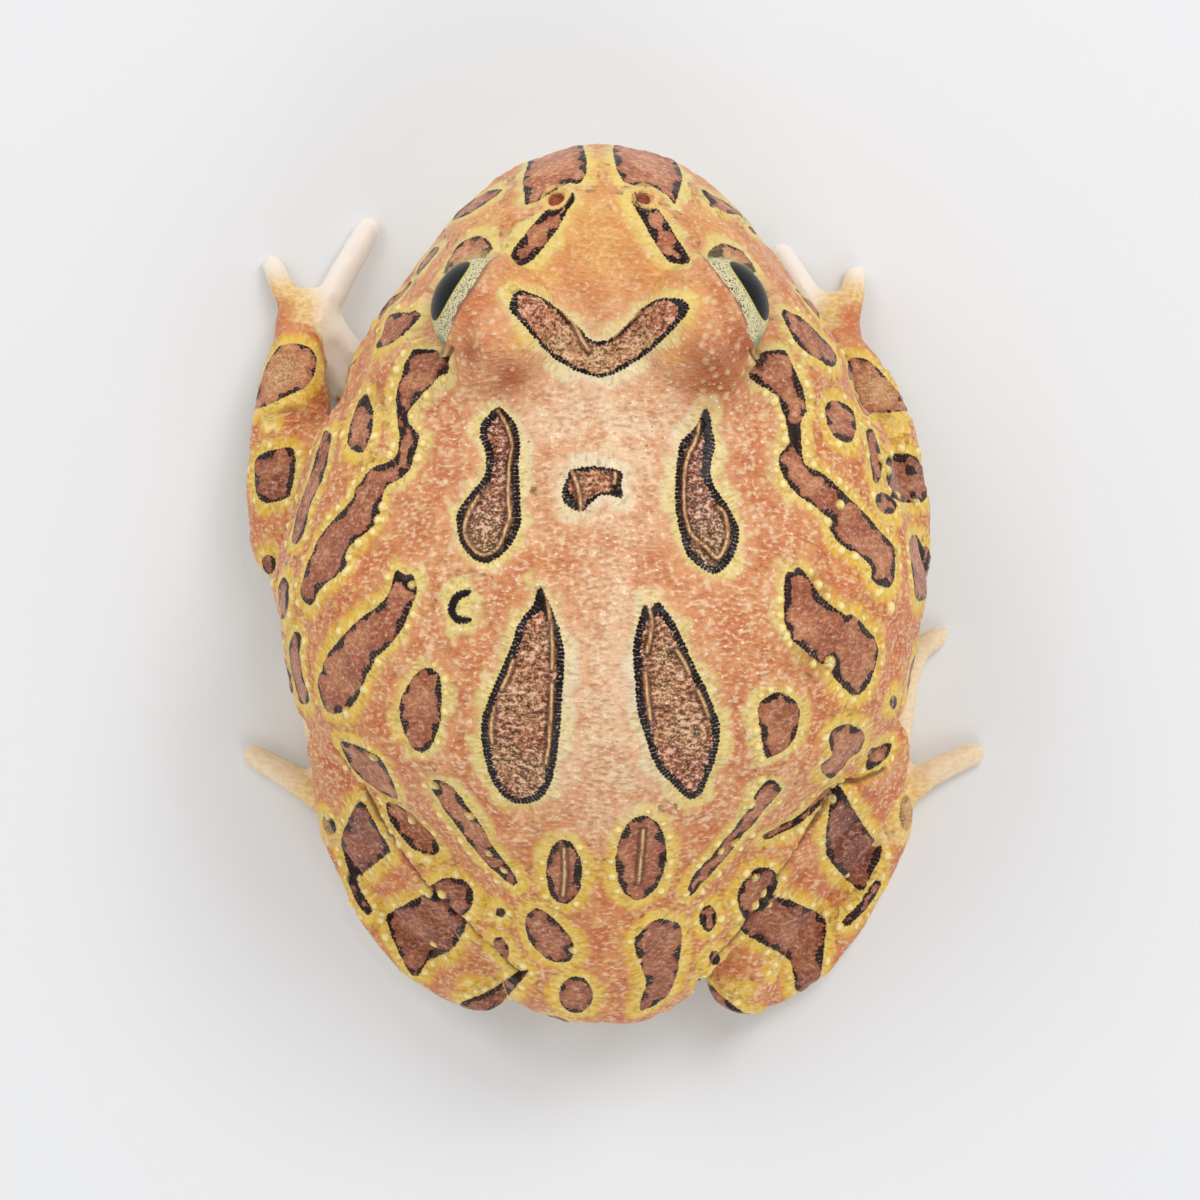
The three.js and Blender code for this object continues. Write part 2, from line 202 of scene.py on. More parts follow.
def keep_largest_shell(mesh):
    """Deletes the closed pockets that melting can leave inside."""
    bm = bmesh.new()
    bm.from_mesh(mesh)
    left = set(bm.verts)
    shells = []
    while left:
        shell = [left.pop()]
        for vert in shell:
            others = [edge.other_vert(vert) for edge in vert.link_edges]
            fresh = [other for other in others if other in left]
            left.difference_update(fresh)
            shell += fresh
        shells.append(shell)
    shells.sort(key=len)
    for shell in shells[:-1]:
        bmesh.ops.delete(bm, geom=shell, context="VERTS")
    bm.to_mesh(mesh)
    bm.free()
    return len(shells)

FLESH = [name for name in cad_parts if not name.endswith("_eye")]
bm = bmesh.new()
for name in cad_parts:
    bm.from_mesh(merged_copy(name, SWELL if name in FLESH else EYE_SWELL))
skin = placed(finished(bm, "frog_skin"))
worked_in(skin, "REMESH", mode="VOXEL", voxel_size=VOXEL * MM)
print("shells:", keep_largest_shell(skin.data))

points = points_of(skin.data)
thin = smooth_step(points[:, 2], *HAND_HEIGHTS)
from_eye = np.minimum(*(np.linalg.norm(points - centre, axis=1) for centre in EYES.values()))
strength = (1.0 - 0.72 * thin) * (0.35 + 0.65 * smooth_step(from_eye, *EYE_ZONE))
points = relax(points, edges_of(skin.data), IRONING_ROUNDS, strength)
put_points(skin.data, points)
worked_in(skin, "SUBSURF", levels=1, render_levels=1)
points = points_of(skin.data)
edges = edges_of(skin.data)
place = body_places(points)
middle = bell(place[:, 0], 13)
points[:, 1] += TIP_TRIM * middle * (smooth_step(place[:, 1], -43, -51) - smooth_step(place[:, 1], 41, 48))
place = body_places(points)
print("skin:", len(points), "points; box in mm:", points.min(0).round(1), points.max(0).round(1))

# %% [markdown]
# The eyes look outwards and a little forwards. The melted surface runs over each eyeball as a closed lid.
# Each opening lies between a steep plane, the edge of the upper lid, and a slanted one below: inside it the
# skin dips under the eyeball, and everywhere else it stands a lid's thickness off it.

# %% Eye openings and lids
GAZE = math.radians(31)
LID_TILT = math.radians(7)
LID_OFFSET = 1.6
LOWER_LID = math.radians(-32)
LID_THICKNESS = 0.6
LID_REACH = 3.0
OPENING_EDGE = -0.45

def eye_axes(side):
    sign = 1 if side == "left" else -1
    level = np.array([sign * math.cos(GAZE), -math.sin(GAZE), 0.0])
    outlook = level * math.cos(LID_TILT) - np.array([0, 0, math.sin(LID_TILT)])
    return level, outlook

def opening_depth(points, side):
    """How far a point lies inside the eye opening, in mm along the eyeball, and which lid is nearer."""
    level, outlook = eye_axes(side)
    away = points - EYES[side]
    radius = np.linalg.norm(away, axis=1)
    way = away / radius[:, None]
    upper = np.arcsin(np.clip(way @ outlook, -1, 1)) - math.asin(LID_OFFSET / EYE_RADIUS)
    lower = np.arctan2(way[:, 2], np.maximum(way @ level, 0.05)) - LOWER_LID
    both = -np.log(np.exp(-6 * upper) + np.exp(-6 * lower)) / 6
    return both * EYE_RADIUS, radius, way, upper < lower

upper_lid = np.zeros(len(points))
lower_lid = np.zeros(len(points))
for side in EYES:
    depth, radius, way, is_upper = opening_depth(points, side)
    near = radius < EYE_RADIUS + LID_REACH
    inside = near & (depth > OPENING_EDGE)
    sunk = near & ~inside & (radius < EYE_RADIUS + LID_THICKNESS) & (depth > -7)
    points[sunk] = EYES[side] + way[sunk] * (EYE_RADIUS + LID_THICKNESS)
    rim_zone = near * bell(depth + 1.4, 1.1)
    points = relax(points, edges, 6, 0.8 * rim_zone)
    put_points(skin.data, points)
    depth, radius, way, is_upper = opening_depth(points, side)
    swelling = 0.3 * bell(depth + 0.9, 0.5) - 0.2 * bell(depth + 2.2, 0.45)
    points = points + normals_of(skin.data) * (swelling * near)[:, None]
    depth, radius, way, is_upper = opening_depth(points, side)
    inside = near & (depth > OPENING_EDGE)
    ramp = EYE_RADIUS - 1.1 * depth
    goal = np.where(depth > 0, np.maximum(ramp, EYE_RADIUS - 0.8), ramp)
    points[inside] = EYES[side] + way[inside] * goal[inside, None]
    upper_lid = np.maximum(upper_lid, bell(depth + 0.12, 0.32) * near * is_upper)
    lower_lid = np.maximum(lower_lid, bell(depth + 0.25, 0.3) * near * ~is_upper)
put_points(skin.data, points)
print("eye openings cut")

# %% [markdown]
# The mouth is one long line that drops towards its corners behind the eyes. It becomes a groove with a
# full upper lip above it. The nostrils are small pits with a raised ring, and a faint round eardrum lies
# behind each eye.

# %% Mouth, nostrils and eardrums
MOUTH = np.array([(-54.0, 19.6), (-44.0, 18.6), (-32.0, 16.2), (-21.0, 11.2)])
NOSTRIL = np.array([4.9, -44.6, 33.4])
EARDRUM = np.array([-21.0, 24.5])
LIP_FULLNESS, CHIN_DROP, MOUTH_DEPTH = 0.38, 0.45, 0.8
NOSTRIL_RIM, NOSTRIL_DEPTH = 0.25, 0.9
EAR_RIM, EAR_DEPTH = 0.16, 0.12

above_mouth = place[:, 2] - np.interp(place[:, 1], MOUTH[:, 0], MOUTH[:, 1])
fade = smooth_step(place[:, 1], MOUTH[-1, 0] + 1.5, MOUTH[-1, 0] - 2.5) * (np.abs(above_mouth) < 8)
mouth = bell(above_mouth, 0.4) * fade
chin = smooth_step(above_mouth, 0.2, -0.6) * smooth_step(above_mouth, -5.0, -1.5)
lips = LIP_FULLNESS * bell(above_mouth - 1.5, 1.1) - CHIN_DROP * chin - MOUTH_DEPTH * bell(above_mouth, 0.4)
lift = lips * fade

mirrored = place.copy()
mirrored[:, 0] = np.abs(place[:, 0])
away = mirrored - NOSTRIL
reach = np.hypot(0.8 * (away[:, 0] * 0.86 + away[:, 1] * 0.5), away[:, 1] * 0.86 - away[:, 0] * 0.5)
reach += 9 * (np.abs(away[:, 2]) > 5)
nostril_pit = smooth_step(reach, 0.9, 0.45)
nostril_ring = bell(reach - 1.2, 0.27)
lift += NOSTRIL_RIM * nostril_ring - NOSTRIL_DEPTH * nostril_pit
ear = np.hypot(mirrored[:, 1] - EARDRUM[0], (mirrored[:, 2] - EARDRUM[1]) * 0.8) + 9 * (mirrored[:, 0] < 15)
lift += EAR_RIM * bell(ear - 2.2, 0.4) - EAR_DEPTH * smooth_step(ear, 2.0, 1.0)
points = points + normals_of(skin.data) * lift[:, None]
put_points(skin.data, points)
print("mouth and nostrils cut")

# %% [markdown]
# The markings are islands of red-brown with a black rim in a yellow halo. Each is drawn as a closed outline
# over the photograph and laid on the skin along the camera's rays. The skin then keeps, for every point,
# its distance to the nearest outline, negative inside, so the finish can grow rim and halo to any width.

# %% Kinds of marking
# How light the filling is, how black the rim, and how many mm broad
BACK = (0.60, 1.0, 0.85)
PEAR = (0.10, 1.0, 0.88)
BROW = (1.0, 0.95, 0.42)
ARCH = (0.80, 0.95, 0.42)
SNOUT = (1.0, 0.45, 0.48)
FLANK = (0.74, 0.40, 0.36)
RUMP = (0.46, 0.40, 0.34)
LEG = (0.38, 0.40, 0.38)
SHANK = (0.06, 0.40, 0.38)
WRIST = (1.10, 0.30, 0.08)

# %% Outlines of the markings
BLOTCHES = {
    "snout_left": (SNOUT, [(527, 166), (531, 155), (551, 142), (560, 131), (576, 131), (582, 143),
        (587, 166), (584, 178), (577, 184), (566, 184), (529, 205), (524, 194), (523, 178)]),
    "snout_right": (SNOUT, [(613, 150), (616, 139), (622, 129), (641, 131), (650, 143), (666, 153),
        (678, 166), (682, 180), (674, 205), (668, 197), (655, 189), (628, 184), (620, 176), (615, 164)]),
    "nostril_left": (SNOUT, [(572, 193), (572, 205), (531, 261), (510, 256), (538, 219), (547, 210),
        (558, 209), (566, 203)]),
    "nostril_right": (SNOUT, [(634, 192), (633, 204), (652, 237), (668, 259), (680, 263), (690, 259),
        (663, 217), (655, 209), (647, 208), (640, 203)]),
    "hook_left": (SNOUT, [(457, 247), (468, 239), (480, 237), (490, 243), (493, 251), (486, 256),
        (484, 262), (462, 268), (447, 276), (444, 270)]),
    "hook_right": (SNOUT, [(707, 256), (714, 247), (724, 244), (738, 249), (748, 259), (756, 274),
        (757, 282), (748, 270), (738, 264), (716, 261)]),
    "chevron": (BROW, [(517, 291), (533, 294), (546, 300), (575, 324), (588, 338), (602, 341), (617, 334),
        (640, 312), (657, 301), (677, 299), (687, 303), (687, 314), (657, 346), (643, 357), (629, 366),
        (602, 377), (576, 371), (557, 361), (542, 348), (513, 314), (509, 306)]),
    "pear_left": (PEAR, [(498, 408), (507, 413), (516, 425), (520, 444), (519, 466), (521, 512), (518, 531),
        (508, 549), (495, 560), (482, 563), (470, 556), (461, 544), (457, 524), (461, 506), (483, 478),
        (486, 463), (484, 448), (480, 437), (481, 425), (488, 415)]),
    "pear_right": (PEAR, [(704, 409), (709, 414), (711, 430), (715, 444), (711, 466), (714, 485),
        (734, 517), (739, 533), (735, 552), (725, 567), (714, 574), (700, 567), (688, 556), (682, 542),
        (675, 505), (677, 460), (682, 440), (694, 429)]),
    "arch": (ARCH, [(568, 475), (574, 469), (595, 467), (617, 470), (623, 474), (621, 485), (622, 499),
        (603, 495), (588, 506), (583, 513), (566, 504), (562, 492)]),
    "long_left": (BACK, [(541, 587), (563, 644), (562, 700), (557, 755), (552, 779), (543, 795), (530, 803),
        (515, 803), (504, 797), (494, 785), (487, 768), (483, 748), (482, 729), (486, 706), (511, 647),
        (515, 632), (521, 619), (533, 605)]),
    "long_right": (BACK, [(644, 605), (650, 610), (657, 601), (667, 612), (679, 632), (712, 703),
        (720, 727), (718, 748), (711, 772), (702, 792), (691, 799), (680, 792), (665, 776), (653, 760),
        (640, 720), (636, 699), (633, 650), (635, 634)]),
    "back_left": (RUMP, [(536, 908), (556, 921), (572, 939), (571, 960), (551, 962), (533, 946),
        (525, 923)]),
    "back_right": (RUMP, [(642, 930), (656, 919), (672, 921), (682, 929), (681, 950), (671, 991),
        (642, 1011), (642, 996), (646, 982), (634, 944)]),
    "temple_left": (FLANK, [(425, 343), (434, 348), (448, 364), (447, 374), (438, 378), (410, 409),
        (410, 424), (416, 431), (419, 440), (411, 467), (402, 479), (391, 485), (384, 494), (376, 521),
        (347, 551), (346, 566), (322, 588), (315, 600), (309, 605), (303, 598), (302, 586), (314, 548),
        (322, 533), (352, 499), (354, 491), (362, 479), (373, 469), (387, 463), (397, 455), (399, 440),
        (397, 395), (401, 377), (406, 362), (415, 349)]),
    "temple_right": (FLANK, [(758, 362), (762, 352), (772, 346), (783, 350), (792, 364), (806, 407),
        (801, 420), (802, 456), (808, 468), (829, 479), (888, 540), (895, 560), (892, 585), (880, 586),
        (870, 579), (870, 568), (860, 556), (846, 548), (836, 538), (829, 526), (828, 517), (800, 497),
        (789, 485), (781, 471), (779, 456), (786, 446), (788, 434), (778, 398), (752, 380), (750, 370)]),
    "cheek_left": (FLANK, [(384, 333), (388, 318), (398, 313), (410, 312), (421, 308), (419, 318),
        (398, 340), (382, 348), (376, 346)]),
    "cheek_right": (FLANK, [(781, 309), (792, 313), (808, 323), (822, 336), (832, 350), (836, 363),
        (828, 366), (800, 347), (790, 334), (783, 320)]),
    "jaw_left": (FLANK, [(369, 395), (374, 425), (366, 451), (357, 452), (349, 446), (348, 433),
        (358, 406)]),
    "jaw_right": (FLANK, [(828, 403), (840, 401), (852, 410), (855, 425), (851, 441), (842, 443),
        (833, 436), (827, 420)]),
    "side_left": (FLANK, [(397, 571), (404, 575), (411, 573), (417, 590), (412, 606), (398, 636),
        (374, 663), (355, 700), (345, 711), (333, 713), (325, 706), (318, 686), (324, 664), (333, 648),
        (345, 634), (362, 617), (386, 598)]),
    "side_right": (FLANK, [(797, 567), (804, 573), (822, 597), (845, 615), (854, 616), (872, 633),
        (877, 643), (878, 655), (875, 670), (869, 684), (861, 693), (852, 695), (843, 688), (832, 674),
        (834, 667), (828, 662), (821, 664), (802, 649), (785, 627), (785, 576), (792, 573)]),
    "oval_left": (FLANK, [(420, 670), (433, 669), (441, 680), (440, 715), (436, 735), (428, 750),
        (418, 752), (409, 744), (402, 728), (400, 708), (404, 692)]),
    "oval_right": (FLANK, [(772, 693), (780, 692), (790, 697), (798, 705), (800, 716), (794, 741),
        (770, 758), (763, 748), (758, 712), (761, 703)]),
    "loin_right": (FLANK, [(831, 732), (838, 726), (848, 724), (860, 729), (866, 740), (862, 752),
        (852, 757), (832, 776), (822, 772), (823, 762), (832, 754), (829, 743)]),
    "loin_right_rear": (FLANK, [(889, 743), (891, 750), (884, 760), (872, 768), (864, 769), (866, 758),
        (874, 748)]),
    "loin_left": (FLANK, [(341, 742), (361, 747), (371, 752), (380, 760), (397, 793), (394, 798),
        (377, 789), (345, 755)]),
    "thigh_left": (FLANK, [(387, 803), (395, 804), (412, 813), (433, 834), (439, 845), (438, 853),
        (429, 855), (413, 848), (396, 830), (389, 818)]),
    "rump_left": (FLANK, [(430, 786), (440, 780), (464, 801), (503, 858), (514, 876), (516, 886),
        (504, 880), (475, 848), (438, 800)]),
    "rump_right": (FLANK, [(771, 779), (779, 786), (774, 799), (698, 888), (689, 891), (692, 878),
        (735, 826), (748, 808), (757, 790)]),
    "shank_left": (SHANK, [(362, 802), (388, 848), (386, 855), (363, 874), (357, 886), (348, 872),
        (342, 852), (341, 838), (347, 824)]),
    "fold_left": (LEG, [(430, 887), (439, 880), (451, 878), (464, 881), (473, 892), (471, 907), (463, 915),
        (454, 913), (434, 894)]),
    "calf_left": (LEG, [(387, 916), (400, 907), (431, 893), (443, 902), (464, 925), (460, 938), (450, 951),
        (427, 962), (418, 976), (408, 970), (390, 930)]),
    "heel_left": (LEG, [(528, 971), (508, 996), (494, 1006), (476, 1013), (464, 1011), (462, 1002),
        (490, 990), (516, 973)]),
    "shank_right": (SHANK, [(836, 786), (845, 795), (868, 833), (882, 850), (866, 884), (858, 889),
        (830, 861), (825, 842), (826, 817)]),
    "fold_right": (LEG, [(756, 869), (768, 868), (778, 876), (776, 890), (755, 914), (745, 919), (739, 908),
        (737, 893), (745, 880)]),
    "calf_right": (LEG, [(741, 929), (764, 903), (774, 895), (808, 908), (820, 915), (826, 926), (819, 978),
        (808, 988), (796, 990), (793, 972), (786, 957)]),
    "heel_right": (LEG, [(701, 979), (738, 1008), (751, 1012), (750, 1018), (736, 1018), (720, 1010),
        (708, 998), (702, 988)]),
    "wrist_left": (WRIST, [(279, 346), (294, 343), (310, 348), (316, 360), (312, 378), (298, 392),
        (257, 409), (257, 396), (262, 378), (270, 358)]),
    "forearm_left": (LEG, [(258, 455), (275, 449), (288, 447), (295, 454), (292, 490), (286, 499),
        (262, 501), (254, 469)]),
    "wrist_right": (WRIST, [(848, 360), (862, 358), (878, 368), (905, 402), (908, 411), (877, 414),
        (864, 413), (851, 380)]),
    "forearm_right": (LEG, [(887, 457), (900, 453), (915, 457), (923, 467), (927, 485), (925, 500),
        (910, 503), (896, 499), (889, 480)]),
}

# %% [markdown]
# Small marks are ovals or short strokes, so a middle and a size, or a line and a width, are enough to draw
# them. Thin golden cords of skin also run inside the large markings of the back.

# %% Strokes, ovals and ridges
def oval(centre, half_width, half_height, turn=0.0):
    angles = np.linspace(0, 2 * math.pi, 12, endpoint=False)
    a, b = half_width * np.cos(angles), half_height * np.sin(angles)
    c, s = math.cos(turn), math.sin(turn)
    return [(centre[0] + x * c - y * s, centre[1] + x * s + y * c) for x, y in zip(a, b)]

def ribbon(path, width):
    """A closed outline round an open stroke, with rounded ends."""
    path = np.array(path, float)
    along = np.gradient(path, axis=0)
    along /= np.linalg.norm(along, axis=1)[:, None]
    side = np.stack([-along[:, 1], along[:, 0]], axis=1)
    taper = np.sin(np.linspace(0, math.pi, len(path) + 2)[1:-1]) ** 0.5
    reach = side * (width / 2 * taper)[:, None]
    start, end = path[0] - along[0] * width * 0.4, path[-1] + along[-1] * width * 0.4
    return [tuple(start), *map(tuple, path + reach), tuple(end), *map(tuple, (path - reach)[::-1])]

SMALL_MARKS = {
    "hip_left": oval((564, 872), 18, 32),
    "hip_right": oval((641, 858), 25, 43, 0.1),
    "curl_left": ribbon([(468, 592), (457, 597), (452, 607), (456, 619), (469, 620)], 9),
    "tail_left": oval((576, 995), 17, 17),
    "tail_right_dot": oval((714, 957), 6, 8),
    "tail_left_dot": oval((501, 949), 7, 13, -0.3),
    "rump_left_dot": oval((501, 912), 5, 5),
    "rump_right_dot": oval((708, 918), 8, 13),
    "rump_right_thin": ribbon([(834, 785), (815, 803), (793, 822), (766, 836)], 8),
    "flank_left": ribbon([(326, 436), (320, 462), (312, 488), (304, 514), (297, 540)], 12),
    "flank_left_low": oval((284, 598), 6, 21),
    "flank_left_rear": ribbon([(298, 636), (296, 658), (298, 680), (303, 701)], 11),
    "flank_right": ribbon([(870, 433), (876, 450), (878, 466), (877, 479)], 11),
    "flank_right_mid": oval((886, 503), 9, 12, -0.6),
    "flank_right_low": ribbon([(914, 541), (920, 558), (922, 576), (921, 595)], 15),
    "flank_right_dot": oval((893, 702), 4, 7),
    "ankle_left": ribbon([(350, 878), (358, 893), (369, 911)], 9),
    "ankle_left_dot": oval((329, 825), 6, 10, -0.4),
    "ankle_right": ribbon([(877, 884), (866, 903), (846, 922)], 10),
    "ankle_right_dot": oval((906, 813), 6, 18),
    "elbow_left": oval((269, 564), 7, 10),
    "elbow_right": oval((927, 556), 4, 10),
    "lip_left": ribbon([(437, 249), (428, 260), (419, 273)], 6),
    "snout_right_dot": oval((714, 203), 4, 3),
    "snout_right_dash": oval((752, 232), 6, 3, 0.7),
}
SMALL_KINDS = {"tail": RUMP, "curl": BACK, "ankle": LEG, "elbow": LEG}
for name, outline in SMALL_MARKS.items():
    BLOTCHES[name] = (SMALL_KINDS.get(name.split("_")[0], FLANK), outline)

# Raised golden cords of skin that run inside the markings
RIDGES = [
    [(498, 411), (507, 426), (512, 445), (510, 470), (509, 502), (510, 515), (504, 535), (498, 549),
     (484, 556), (471, 547), (465, 531), (470, 513), (480, 495)],
    [(698, 423), (695, 441), (688, 456), (684, 477), (684, 513), (691, 535), (705, 547), (718, 558),
     (727, 538), (725, 517), (716, 506)],
    [(571, 470), (574, 477), (578, 488), (580, 500), (581, 522)],
    [(615, 474), (614, 486)],
    [(560, 310), (574, 325), (583, 342), (590, 352)],
    [(643, 312), (625, 325), (612, 339)],
    [(545, 580), (547, 598), (550, 618), (553, 645), (552, 672)],
    [(552, 684), (551, 712), (549, 742), (546, 764)],
    [(514, 660), (508, 677), (502, 690)],
    [(495, 706), (492, 726), (493, 744)],
    [(645, 597), (650, 612), (651, 630), (646, 655)],
    [(645, 672), (647, 695), (651, 722)],
    [(676, 650), (684, 662), (690, 676)],
    [(697, 690), (703, 702), (709, 718)],
    [(564, 848), (565, 872), (563, 897)],
    [(643, 828), (641, 856), (638, 888)],
]
print("markings:", len(BLOTCHES), "ridges:", len(RIDGES))

# %% [markdown]
# The photograph doesn't show the frog's sides, lips, chin and thigh backs. Real ones carry bars down the
# lip and loose spots on the flanks. These are drawn in flat views from the side, the front and the rear, in
# mm from the picture's centre and the floor.

# %% Markings the photograph doesn't show
HIDDEN_MARKS = {
    "left": {
        "lip_bar_front": [(-46.0, 27.0), (-43.6, 26.4), (-42.6, 23.4), (-42.9, 20.8), (-44.8, 20.4),
            (-46.0, 23.0)],
        "lip_bar_mid": [(-35.8, 25.4), (-33.6, 25.8), (-32.0, 22.6), (-31.7, 18.8), (-34.0, 18.2),
            (-35.4, 21.6)],
        "lip_bar_rear": [(-27.4, 21.0), (-25.4, 21.4), (-24.0, 18.6), (-24.0, 15.6), (-26.2, 15.0),
            (-27.4, 18.0)],
        "jaw_front": oval((-39.5, 14.0), 2.2, 1.5, 0.2),
        "jaw_rear": oval((-29.5, 11.0), 2.4, 1.3, 0.4),
        "side_low_front": oval((2.5, 14.5), 2.8, 1.7, -0.3),
        "side_low_mid": oval((10.5, 11.5), 2.2, 1.4, 0.3),
        "side_high": oval((8.5, 20.0), 2.2, 1.5, 0.5),
    },
    "rear": {
        "vent_left": oval((4.6, 15.5), 1.5, 2.4, 0.2),
        "vent_right": oval((-5.2, 13.0), 1.3, 1.9, -0.3),
    },
    "front": {
        "chin_left": oval((10.5, 12.5), 2.2, 1.3, -0.2),
        "chin_right": oval((-6.5, 13.5), 2.5, 1.2, 0.1),
    },
}
HIDDEN_MARKS["right"] = {name: [(a + 0.9 * math.sin(5 * b), b + 0.5 * math.cos(a)) for a, b in outline]
                         for name, outline in HIDDEN_MARKS["left"].items()}

FAR_OFF = 150.0
TO_MIDDLE = 140.0
BROADEST_HEIGHT = 14.0

class View:
    """The photograph's view, or a flat view along one axis, onto the skin."""

    def __init__(self, name):
        self.axis = {"left": 0, "right": 0, "front": 1, "rear": 1}.get(name)
        self.sign = 1 if name in ("left", "rear") else -1

    def flat(self, places):
        """Where places of the skin fall in the view."""
        if self.axis is None:
            return to_pixels(places)
        return body_places(places)[:, (1 - self.axis, 2)]

    def facing(self, normals):
        return normals[:, 2] > -0.1 if self.axis is None else normals[:, self.axis] * self.sign > 0.25

    def start(self, a, b):
        """The far end and the way of the line of sight through a spot of the view."""
        if self.axis is None:
            return Vector(ORIGIN), pixel_ray(a, b)
        far = self.sign * FAR_OFF
        place = (a + ORIGIN[0], far, b) if self.axis else (far, a + ORIGIN[1], b)
        way = Vector((0, 0, 0))
        way[self.axis] = -self.sign
        return Vector(place), way

    def way_back(self, place):
        if self.axis is None:
            return (Vector(ORIGIN) - place).normalized()
        way = Vector((0, 0, 0))
        way[self.axis] = self.sign
        return way

print("hidden marks:", sum(len(marks) for marks in HIDDEN_MARKS.values()))

# %% [markdown]
# An outline becomes a smooth curve, and each of its spots is sent along a line of sight until it meets the
# skin. Every point of the skin then looks for the nearest curve, and whether its own place in the view
# falls inside an outline.

# %% Laying the outlines on the skin
SMOOTH_STEPS = 8

def rounded(points, closed=True):
    """A smooth curve through the points of an outline."""
    points = np.array(points, float)
    if closed:
        before, after, later = (np.roll(points, k, 0) for k in (1, -1, -2))
    else:
        ends = np.vstack([2 * points[0] - points[1], points, 2 * points[-1] - points[-2]])
        before, points, after, later = ends[:-3], ends[1:-2], ends[2:-1], ends[3:]
    t = (np.arange(SMOOTH_STEPS) / SMOOTH_STEPS)[None, :, None]
    a, b, c, d = (group[:, None] for group in (before, points, after, later))
    curve = 0.5 * (2 * b + (c - a) * t + (2 * a - 5 * b + 4 * c - d) * t ** 2
                   + (3 * b - a - 3 * c + d) * t ** 3)
    return curve.reshape(-1, 2)

faces = np.empty(len(skin.data.polygons) * 4, dtype=np.int32)
skin.data.loops.foreach_get("vertex_index", faces)
tree = BVHTree.FromPolygons(points.tolist(), faces.reshape(-1, 4).tolist())
skin_normals = normals_of(skin.data)

def on_skin(view, a, b):
    """The place of a spot of the view on the skin, in mm; one beside the frog goes to the nearest skin."""
    start, way = view.start(a, b)
    hit = tree.ray_cast(start, way)[0]
    if hit is None:
        reach = (CAMERA_HEIGHT - BROADEST_HEIGHT) / -way.z if view.axis is None else TO_MIDDLE
        hit = tree.find_nearest(start + way * reach)[0]
    return hit

def inside_loop(spots, loop):
    inside = np.zeros(len(spots), bool)
    x, y = spots.T
    for (x0, y0), (x1, y1) in zip(loop, np.roll(loop, -1, 0)):
        crosses = (y0 > y) != (y1 > y)
        inside ^= crosses & (x < (x1 - x0) * (y - y0) / (y1 - y0 + 1e-12) + x0)
    return inside

class Lines:
    """Curves laid on the skin: how far any point is from them, and how far along."""

    def __init__(self):
        self.points, self.next, self.before, self.run, self.traits = [], [], [], [], []

    def add(self, curve, closed, traits=(0.0, 0.0, 0.0)):
        start, count = len(self.points), len(curve)
        self.points += curve
        self.traits += [traits] * count
        self.next += [start + ((i + 1) % count if closed else min(i + 1, count - 1)) for i in range(count)]
        self.before += [start + ((i - 1) % count if closed else max(i - 1, 0)) for i in range(count)]
        steps = [(Vector(curve[i]) - Vector(curve[max(i - 1, 0)])).length for i in range(count)]
        self.run += list(np.cumsum(steps) + 17.3 * start)

    def measure(self, places):
        """For each place: the distance to the curves, the run along the nearest, and its traits."""
        at = np.array(self.points)
        runs = np.array(self.run)
        tree = KDTree(len(at))
        for i, point in enumerate(at):
            tree.insert(point, i)
        tree.balance()
        nearest = np.array([tree.find(place)[1] for place in places])
        best, run = np.full(len(places), 1e9), np.zeros(len(places))
        for link in (np.array(self.next), np.array(self.before)):
            other = link[nearest]
            along = at[other] - at[nearest]
            share = np.einsum("ij,ij->i", places - at[nearest], along)
            share = np.clip(share / np.maximum((along ** 2).sum(1), 1e-9), 0, 1)
            gap = np.linalg.norm(places - at[nearest] - along * share[:, None], axis=1)
            closer = gap < best
            best = np.where(closer, gap, best)
            run = np.where(closer, runs[nearest] * (1 - share) + runs[other] * share, run)
        return best, run, np.array(self.traits)[nearest]

rims = Lines()
inside_any = np.zeros(len(points), bool)
top = View("top")

def lay(view, outline, traits):
    loop = rounded(outline)
    rims.add([tuple(on_skin(view, *spot)) for spot in loop], True, traits)
    spots = view.flat(points)
    near = view.facing(skin_normals) & (spots > loop.min(0)).all(1) & (spots < loop.max(0)).all(1)
    near = np.flatnonzero(near)
    for i in near[inside_loop(spots[near], loop)]:
        lifted = Vector(points[i] + skin_normals[i] * 0.6)
        if inside_any[i] or tree.ray_cast(lifted, view.way_back(lifted))[0] is None:
            inside_any[i] = True

for traits, outline in BLOTCHES.values():
    lay(top, outline, traits)
for side, marks in HIDDEN_MARKS.items():
    for outline in marks.values():
        lay(View(side), outline, FLANK)
edge, run, traits = rims.measure(points)
edge = np.where(inside_any, -edge, edge)
step_length = np.linalg.norm(points[edges[:, 0]] - points[edges[:, 1]], axis=1)
torn = np.abs(run[edges[:, 0]] - run[edges[:, 1]]) > 4 * step_length + 0.3
broken = np.zeros(len(points))
broken[edges[torn].ravel()] = 1.0
for step in range(3):
    broken = np.maximum(broken, 1.4 * average(broken[:, None], edges)[:, 0]).clip(0, 1)
print("points inside markings:", int(inside_any.sum()))

# %% [markdown]
# Toad-like skin is covered in warts. Bright tubercles stand where the photograph shows them and in rows
# along the flank markings, and small ones are strewn with a fixed seed.

